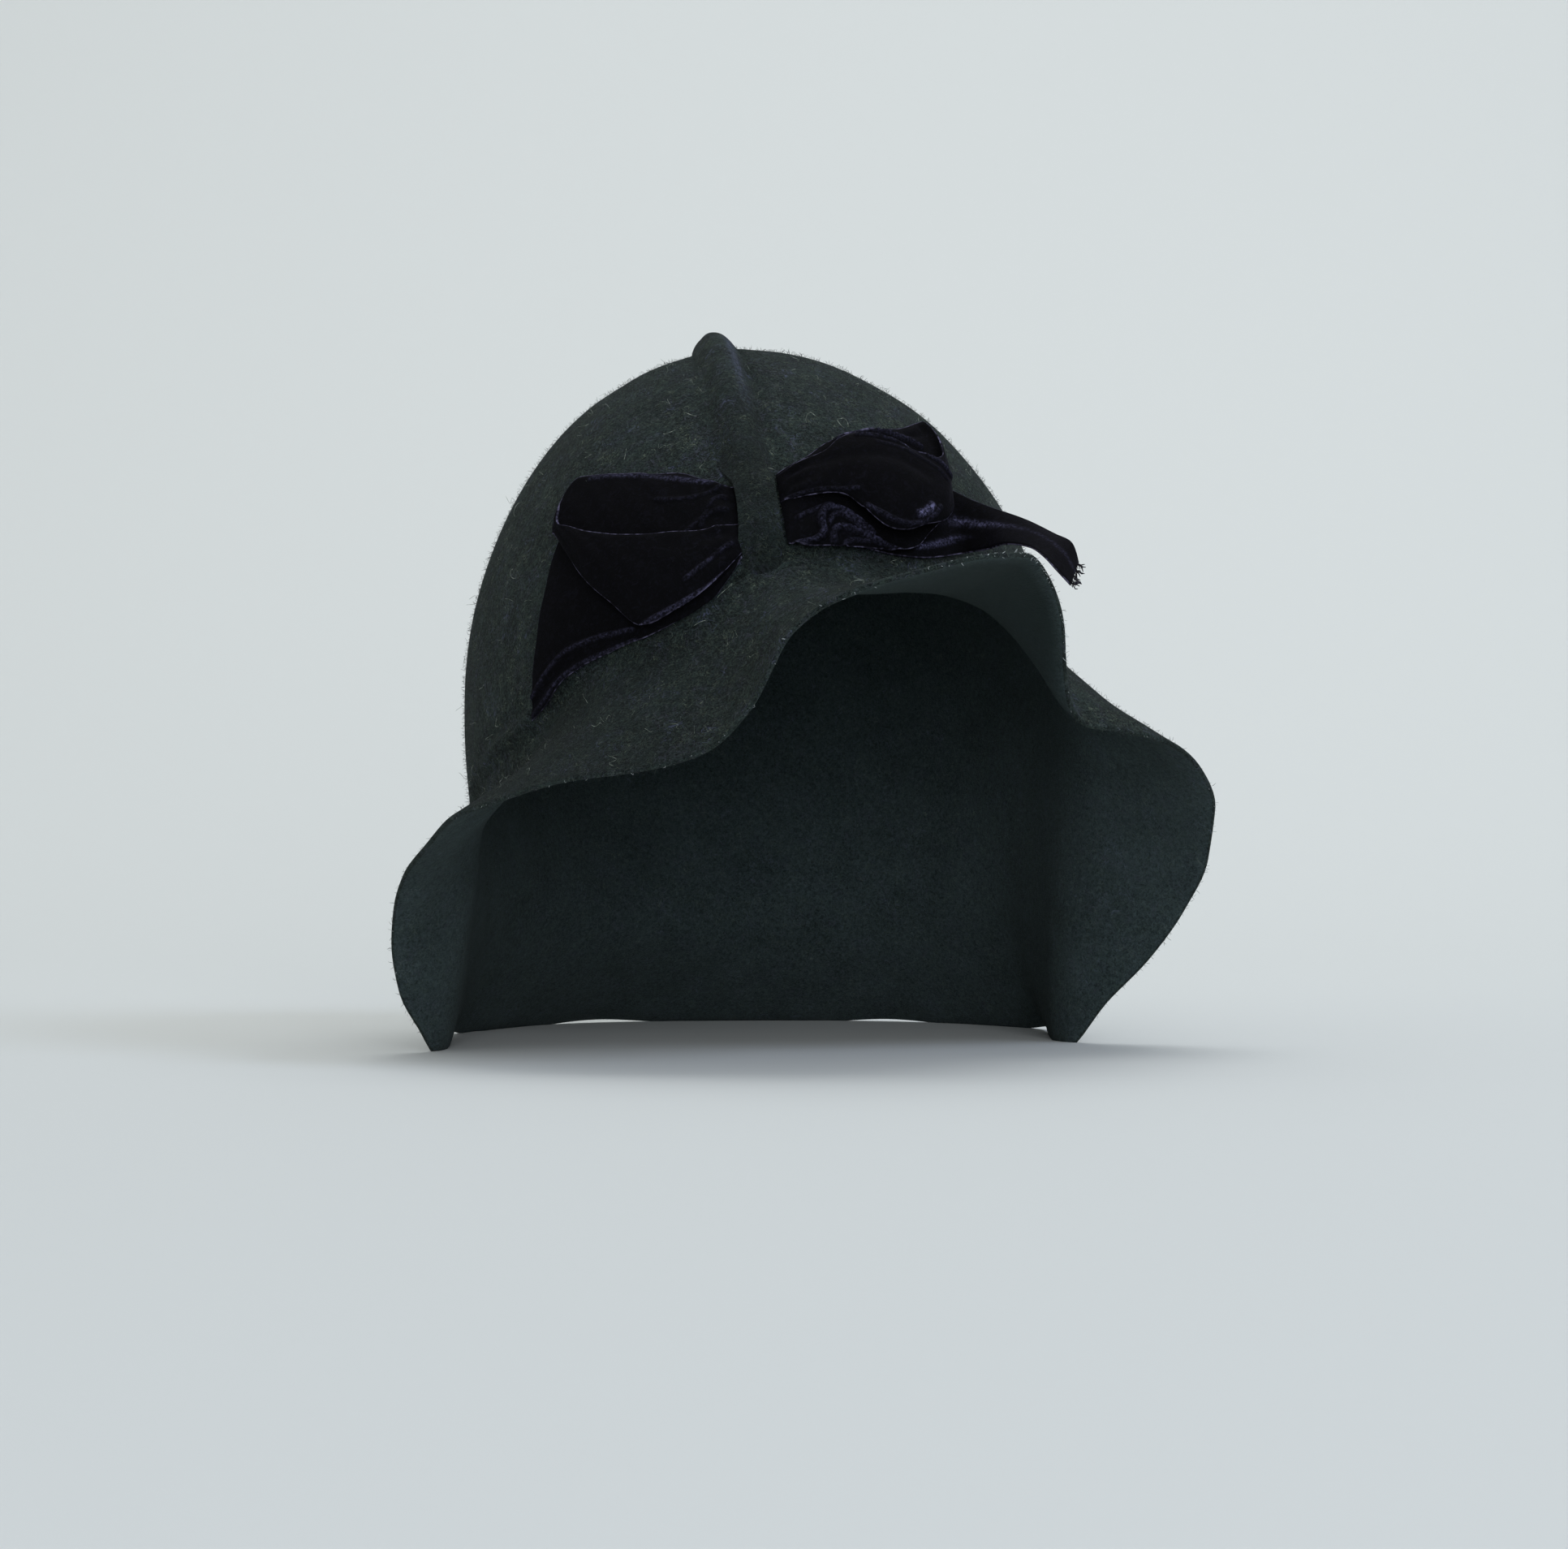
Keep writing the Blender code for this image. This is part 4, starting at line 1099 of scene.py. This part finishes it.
def tube(points, radius, sides=3):
    """Points and faces of a thin closed tube through the points, finest at its ends."""
    points = np.asarray(points, float)
    ways = np.gradient(points, axis=0)
    made = []
    faces = []
    last = len(points) - 1
    aside = np.array([0.31, 0.87, 0.38])
    for k, (place, way) in enumerate(zip(points, ways)):
        way = way / max(np.linalg.norm(way), 1e-9)
        first = np.cross(way, aside)
        first = first / max(np.linalg.norm(first), 1e-9)
        second = np.cross(way, first)
        own = radius * (0.55 if k in (0, last) else 1.0)
        for side in range(sides):
            angle = 2 * math.pi * side / sides
            made.append(place + own * (math.cos(angle) * first + math.sin(angle) * second))
    for k in range(last):
        for side in range(sides):
            other = (side + 1) % sides
            here, after = k * sides, (k + 1) * sides
            faces.append((here + side, here + other, after + other, after + side))
    faces.append(tuple(reversed(range(sides))))
    faces.append(tuple(last * sides + side for side in range(sides)))
    return made, faces


def fibre_shapes(name, count, points, bend, radius, seed):
    """A collection of a few unlike fibres, each one unit long from its root upwards."""
    draw = random.Random(seed)
    shapes = bpy.data.collections.new(name)
    for k in range(count):
        lean = np.array([draw.uniform(-1, 1), draw.uniform(-1, 1), 0.0]) * bend
        curl = np.array([draw.uniform(-1, 1), draw.uniform(-1, 1), draw.uniform(-0.3, 0.3)]) * bend
        share = np.linspace(0.0, 1.0, points)[:, None]
        line = share * np.array([0.0, 0.0, 1.0]) + lean * share ** 2
        line = line + 0.5 * curl * np.sin(share * math.pi * draw.uniform(1.2, 2.4))
        made, faces = tube(line, radius)
        mesh = bpy.data.meshes.new(f"{name}_{k}")
        mesh.from_pydata([tuple(place) for place in made], [], faces)
        mesh.shade_smooth()
        shapes.objects.link(bpy.data.objects.new(f"{name}_{k}", mesh))
    return shapes


def scatter_tree():
    """Geometry nodes that stand fibres all over a surface and make one mesh of them."""
    tree = bpy.data.node_groups.new("fibres_on_surface", "GeometryNodeTree")
    face = tree.interface
    face.new_socket("Surface", in_out="INPUT", socket_type="NodeSocketGeometry")
    for title, kind in (
        ("Fibres", "NodeSocketCollection"),
        ("Look", "NodeSocketMaterial"),
        ("Number per square metre", "NodeSocketFloat"),
        ("Shortest", "NodeSocketFloat"),
        ("Longest", "NodeSocketFloat"),
        ("Lean", "NodeSocketFloat"),
        ("Seed", "NodeSocketInt"),
    ):
        face.new_socket(title, in_out="INPUT", socket_type=kind)
    face.new_socket("Fibres", in_out="OUTPUT", socket_type="NodeSocketGeometry")
    given = add_node(tree, "NodeGroupInput", None, {}).outputs
    spots = add_node(tree, "GeometryNodeDistributePointsOnFaces", None, {
        "Mesh": given["Surface"],
        "Density": given["Number per square metre"],
        "Seed": given["Seed"],
    })
    shapes = add_node(tree, "GeometryNodeCollectionInfo", 0, {
        "Collection": given["Fibres"], "Separate Children": True, "Reset Children": True,
    })
    # Each fibre leans off the surface its own way and has its own length
    least = add_node(tree, "ShaderNodeMath", 0, {0: given["Lean"], 1: -1.0}, operation="MULTIPLY")
    tip = add_node(tree, "ShaderNodeCombineXYZ", 0, {
        0: given["Lean"], 1: given["Lean"], 2: math.pi,
    })
    back = add_node(tree, "ShaderNodeCombineXYZ", 0, {0: least, 1: least, 2: -math.pi})
    turn = add_node(tree, "FunctionNodeRandomValue", 0, {
        0: back, 1: tip, "Seed": given["Seed"],
    }, data_type="FLOAT_VECTOR")
    length = add_node(tree, "FunctionNodeRandomValue", 1, {
        2: given["Shortest"], 3: given["Longest"], "Seed": given["Seed"],
    }, data_type="FLOAT")
    spun = add_node(tree, "FunctionNodeRotateRotation", 0, {
        "Rotation": spots.outputs["Rotation"], "Rotate By": turn,
    }, rotation_space="LOCAL")
    stood = add_node(tree, "GeometryNodeInstanceOnPoints", 0, {
        "Points": spots.outputs["Points"],
        "Instance": shapes,
        "Pick Instance": True,
        "Rotation": spun,
        "Scale": length,
    })
    joined = add_node(tree, "GeometryNodeRealizeInstances", 0, {"Geometry": stood})
    dressed = add_node(tree, "GeometryNodeSetMaterial", 0, {
        "Geometry": joined, "Material": given["Look"],
    })
    add_node(tree, "NodeGroupOutput", None, {"Fibres": dressed})
    return tree


# Fibres on a surface. number: per square metre; shortest, longest: in metres; lean: the most
# that one leans off upright, in radians.
Growth = namedtuple("Growth", "name ground fibres look number shortest longest lean seed")


def scatter(row, tree):
    """Plain mesh of the fibres that the tree stands on the ground, which is then removed."""
    grower = row.ground.modifiers.new("fibres", "NODES")
    grower.node_group = tree
    for socket in tree.interface.items_tree:
        # Each input's first word is the name of its value in the row
        title = socket.name.split()[0].lower()
        if socket.in_out == "INPUT" and title in row._fields:
            grower[socket.identifier] = getattr(row, title)
    bpy.context.view_layer.update()
    graph = bpy.context.evaluated_depsgraph_get()
    mesh = bpy.data.meshes.new_from_object(row.ground.evaluated_get(graph))
    bpy.data.objects.remove(row.ground, do_unlink=True)
    mesh.name = row.name
    item = bpy.data.objects.new(row.name, mesh)
    bpy.context.scene.collection.objects.link(item)
    return item


def raised_faces(points, faces):
    """Those faces that are high enough for fibres to stand clear of the surface below."""
    high = points.reshape(-1, 3)[:, 2] > FIBRE_FLOOR
    return [face for face in faces if all(high[k] for k in face)]


def felt_patch(name, turns, runs, lift=0.0):
    """An open stretch of the felt's outer side, to stand fibres on."""
    across, down = np.meshgrid(turns, runs, indexing="ij")
    points = off_felt(across, down, felt_relief(across, down) + lift)
    return mesh_from(name, points - MIDDLE, raised_faces(points, grid_faces(len(turns), len(runs))))


def edge_patch(name, turns):
    """The narrow cut edge of the brim, to stand fibres on."""
    run = 1.999
    outer = off_felt(turns, run, felt_relief(turns, run))
    inner = outer - felt_normal(turns, run) * RIM_THICKNESS
    outwards = edge_outwards(turns) * RIM_ROUND
    points = np.stack([outer + outwards * 0.6, inner + outwards * 0.6], axis=1)
    return mesh_from(name, points - MIDDLE, raised_faces(points, grid_faces(len(turns), 2)))


def end_patch(name, line, before):
    """A narrow strip over a ribbon's cut end, facing the way the ribbon runs."""
    way = unit(line - before)
    normal = unit(np.cross(np.gradient(line, axis=0), way)) * VELVET_THICKNESS / 2
    points = np.stack([line + normal, line - normal], axis=1)
    strip = mesh_from(name, points - MIDDLE, grid_faces(len(line), 2))
    mean = np.mean([face.normal[:] for face in strip.data.polygons], axis=0)
    if mean @ way.mean(axis=0) < 0.0:
        strip.data.flip_normals()
    return strip


def add_curls(name, look):
    """Bits of lint and thread ends lying on the felt, as one mesh."""
    points = []
    faces = []
    for row in CURLS:
        sweep = np.radians(np.linspace(0.0, row.sweep, CURL_POINTS))
        radius = row.size / 2.0
        x = radius * np.cos(sweep) + 0.25 * radius * np.cos(2.3 * sweep)
        y = radius * np.sin(sweep)
        heading = math.radians(row.heading)
        turn = row.turn + (x * math.cos(heading) - y * math.sin(heading)) / MM_PER_TURN
        run = row.run + (x * math.sin(heading) + y * math.cos(heading)) / MM_PER_RUN
        lift = CURL_LIFT + CURL_ARCH * np.sin(np.linspace(0.2, 2.8, CURL_POINTS))
        line = off_felt(turn, run, lift + felt_relief(turn, run))
        made, own = tube(line - MIDDLE, CURL_RADIUS)
        faces += [tuple(len(points) + k for k in face) for face in own]
        points += made
    return mesh_from(name, points, faces, [look])


def add_sweep():
    """The pale paper that the hat stands on, rising behind it in one wide curve."""
    start, radius, steps, reach, top = 0.5, 2.2, 24, 14.0, 5.0
    profile = [(-reach, 0.0), (start, 0.0)]
    for k in range(1, steps + 1):
        angle = math.pi / 2 * k / steps
        profile.append((start + radius * math.sin(angle), radius - radius * math.cos(angle)))
    profile.append((start + radius, top))
    points = [(x, y, z) for y, z in profile for x in (-reach, reach)]
    faces = [(2 * k, 2 * k + 1, 2 * k + 3, 2 * k + 2) for k in range(len(profile) - 1)]
    return mesh_from("paper_sweep", points, faces, [plain_look("pale_paper", "#D8DBD9", 0.95)])


# Soft square lights. place, aim: in metres; size: of a side; power: in watts.
Light = namedtuple("Light", "name place aim size power colour")
LIGHTS = [
    Light("key", (1.90, -1.00, 2.00), (0.0, 0.1, 0.10), 0.9, 19.0, "#D6E4FF"),
    Light("fill", (-2.30, -1.70, 1.20), (0.0, 0.1, 0.10), 1.6, 2.5, "#FFFDF4"),
    Light("front", (0.30, -2.40, 0.55), (0.0, 0.0, 0.08), 1.2, 24.0, "#F4F8FF"),
    Light("top", (0.30, 0.70, 2.60), (0.0, 0.3, 0.0), 2.0, 19.0, "#FBFDFF"),
    Light("backdrop", (0.0, 0.2, 2.4), (0.0, 2.6, 1.2), 2.0, 15.0, "#FBFDFF"),
]

# The camera, low over the floor and level with the crown's lower half. LENS: in millimetres.
CAMERA_PLACE = (-0.005734, -1.205724, 0.080)
CAMERA_AIM = (-0.005734, -0.005724, 0.0726)
LENS = 103.53


def add_aimed(name, data, place, aim):
    """A light or camera that looks from place at aim."""
    item = bpy.data.objects.new(name, data)
    item.location = place
    item.rotation_euler = (Vector(aim) - item.location).to_track_quat("-Z", "Y").to_euler()
    bpy.context.scene.collection.objects.link(item)
    return item


def set_stage():
    """Paper, soft studio light and the camera at the photograph's angle."""
    add_sweep()
    world = bpy.data.worlds.new("studio")
    world.use_nodes = True
    sky = world.node_tree.nodes["Background"]
    sky.inputs["Color"].default_value = linear("#E9ECEC")
    sky.inputs["Strength"].default_value = 0.50
    bpy.context.scene.world = world
    for row in LIGHTS:
        lamp = bpy.data.lights.new(row.name, "AREA")
        lamp.size = row.size
        lamp.energy = row.power
        lamp.color = linear(row.colour)[:3]
        add_aimed(row.name, lamp, row.place, row.aim)
    lens = bpy.data.cameras.new("camera")
    lens.sensor_width = 36.0
    lens.lens = LENS
    lens.clip_start = 0.02
    bpy.context.scene.camera = add_aimed("camera", lens, CAMERA_PLACE, CAMERA_AIM)
    bpy.context.scene.view_settings.view_transform = "Standard"


def dress(item, node=None):
    """Fix a piece to the hat's root body, in place of a CAD node where it stands for one."""
    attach(item, "root")
    if node is not None:
        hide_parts(node)


def add_ribbons(look):
    """The four strips of the bow; returns the right tail's grid."""
    grids = {
        "bow_loop_left": ribbon_grid("bow_loop_left", LOOP_LEFT, -1),
        "bow_tail_left": ribbon_grid("bow_tail_left", TAIL_LEFT, -1),
        "bow_loop_right": ribbon_grid("bow_loop_right", LOOP_RIGHT, 1),
    }
    start = ribbon_grid("bow_tail_right", TAIL_RIGHT, 1)
    free = bridge_grid(start[0][-1])
    grids["bow_tail_right"] = tuple(
        eased(np.concatenate(rows), len(start[0])) for rows in zip(start, free))
    for node, (grid, crush) in grids.items():
        item, flat = add_ribbon("velvet_" + node, grid, crush, look, flip="left" in node)
        dress(item, node)
    return grids["bow_tail_right"][0]


def build():
    """Every piece of the hat and its setting."""
    felt_looks = [felt_look(*row) for row in FELT_LOOKS]
    nap_look = fibre_look("wool_nap_fibre", "#0A0F0F", "#48524C")
    lint_look = fibre_look("pale_lint_fibre", "#5A6459", "#A9B2A6")
    fleck_look = plain_look("white_lint_speck", "#C3CBCD", 0.9)
    thread_look = fibre_look("violet_ribbon_thread", "#08060C", "#171226")

    dress(add_felt_body(felt_looks), "felt_body")
    dress(add_ridge(felt_looks[0]), "crown_ridge")
    # Velvet colours: ground, painted fold highlight, sheen
    tail = add_ribbons(velvet_look("rayon_velvet_ribbon", "#060608", "#6C6B8E", "#66628A"))

    tree = scatter_tree()
    short = fibre_shapes("nap_shape", 5, 3, 0.50, 0.042, 11)
    long = fibre_shapes("lint_shape", 8, 11, 0.80, 0.017, 12)
    ticks = fibre_shapes("speck_shape", 4, 4, 0.9, 0.075, 13)
    frays = fibre_shapes("fray_shape", 5, 5, 0.30, 0.075, 14)
    all_round = np.linspace(-180.0, 180.0, 181)
    crown = felt_patch("nap_ground", all_round, np.linspace(0.03, 0.97, 60))
    brim = felt_patch("nap_ground", all_round, np.linspace(0.97, 1.985, 44))
    whole = felt_patch("lint_ground", all_round, np.linspace(0.03, 1.97, 90), 0.0001)
    edge = edge_patch("edge_ground", np.linspace(-180.0, 180.0, 721))
    speck_edge = edge_patch("speck_ground", np.linspace(20.0, 50.0, 61))
    dust_edge = edge_patch("dust_ground", np.linspace(-72.0, 96.0, 337))
    tail_end = end_patch("fray_ground", tail[-1], tail[-2])
    for row in (
        Growth("crown_nap", crown, short, nap_look, 250000.0, 0.0005, 0.0013, 1.0, 3),
        Growth("brim_nap", brim, short, nap_look, 250000.0, 0.0005, 0.0013, 1.0, 4),
        Growth("felt_lint", whole, long, lint_look, 9000.0, 0.0008, 0.0028, 1.7, 5),
        Growth("cut_edge_nap", edge, short, nap_look, 600000.0, 0.0006, 0.0015, 0.9, 7),
        Growth("cut_edge_specks", speck_edge, ticks, fleck_look, 760000.0, 0.0002, 0.0010, 1.4, 9),
        Growth("cut_edge_dust", dust_edge, ticks, fleck_look, 160000.0, 0.0002, 0.0007, 1.4, 15),
        Growth("tail_frayed_threads", tail_end, frays, thread_look,
               3600000.0, 0.0006, 0.0027, 0.6, 10),
    ):
        dress(scatter(row, tree))
    dress(add_curls("felt_lint_curls", lint_look))
    for shapes in (short, long, ticks, frays):
        for item in list(shapes.objects):
            bpy.data.objects.remove(item, do_unlink=True)
        bpy.data.collections.remove(shapes)
    set_stage()


build()
bpy.context.view_layer.update()
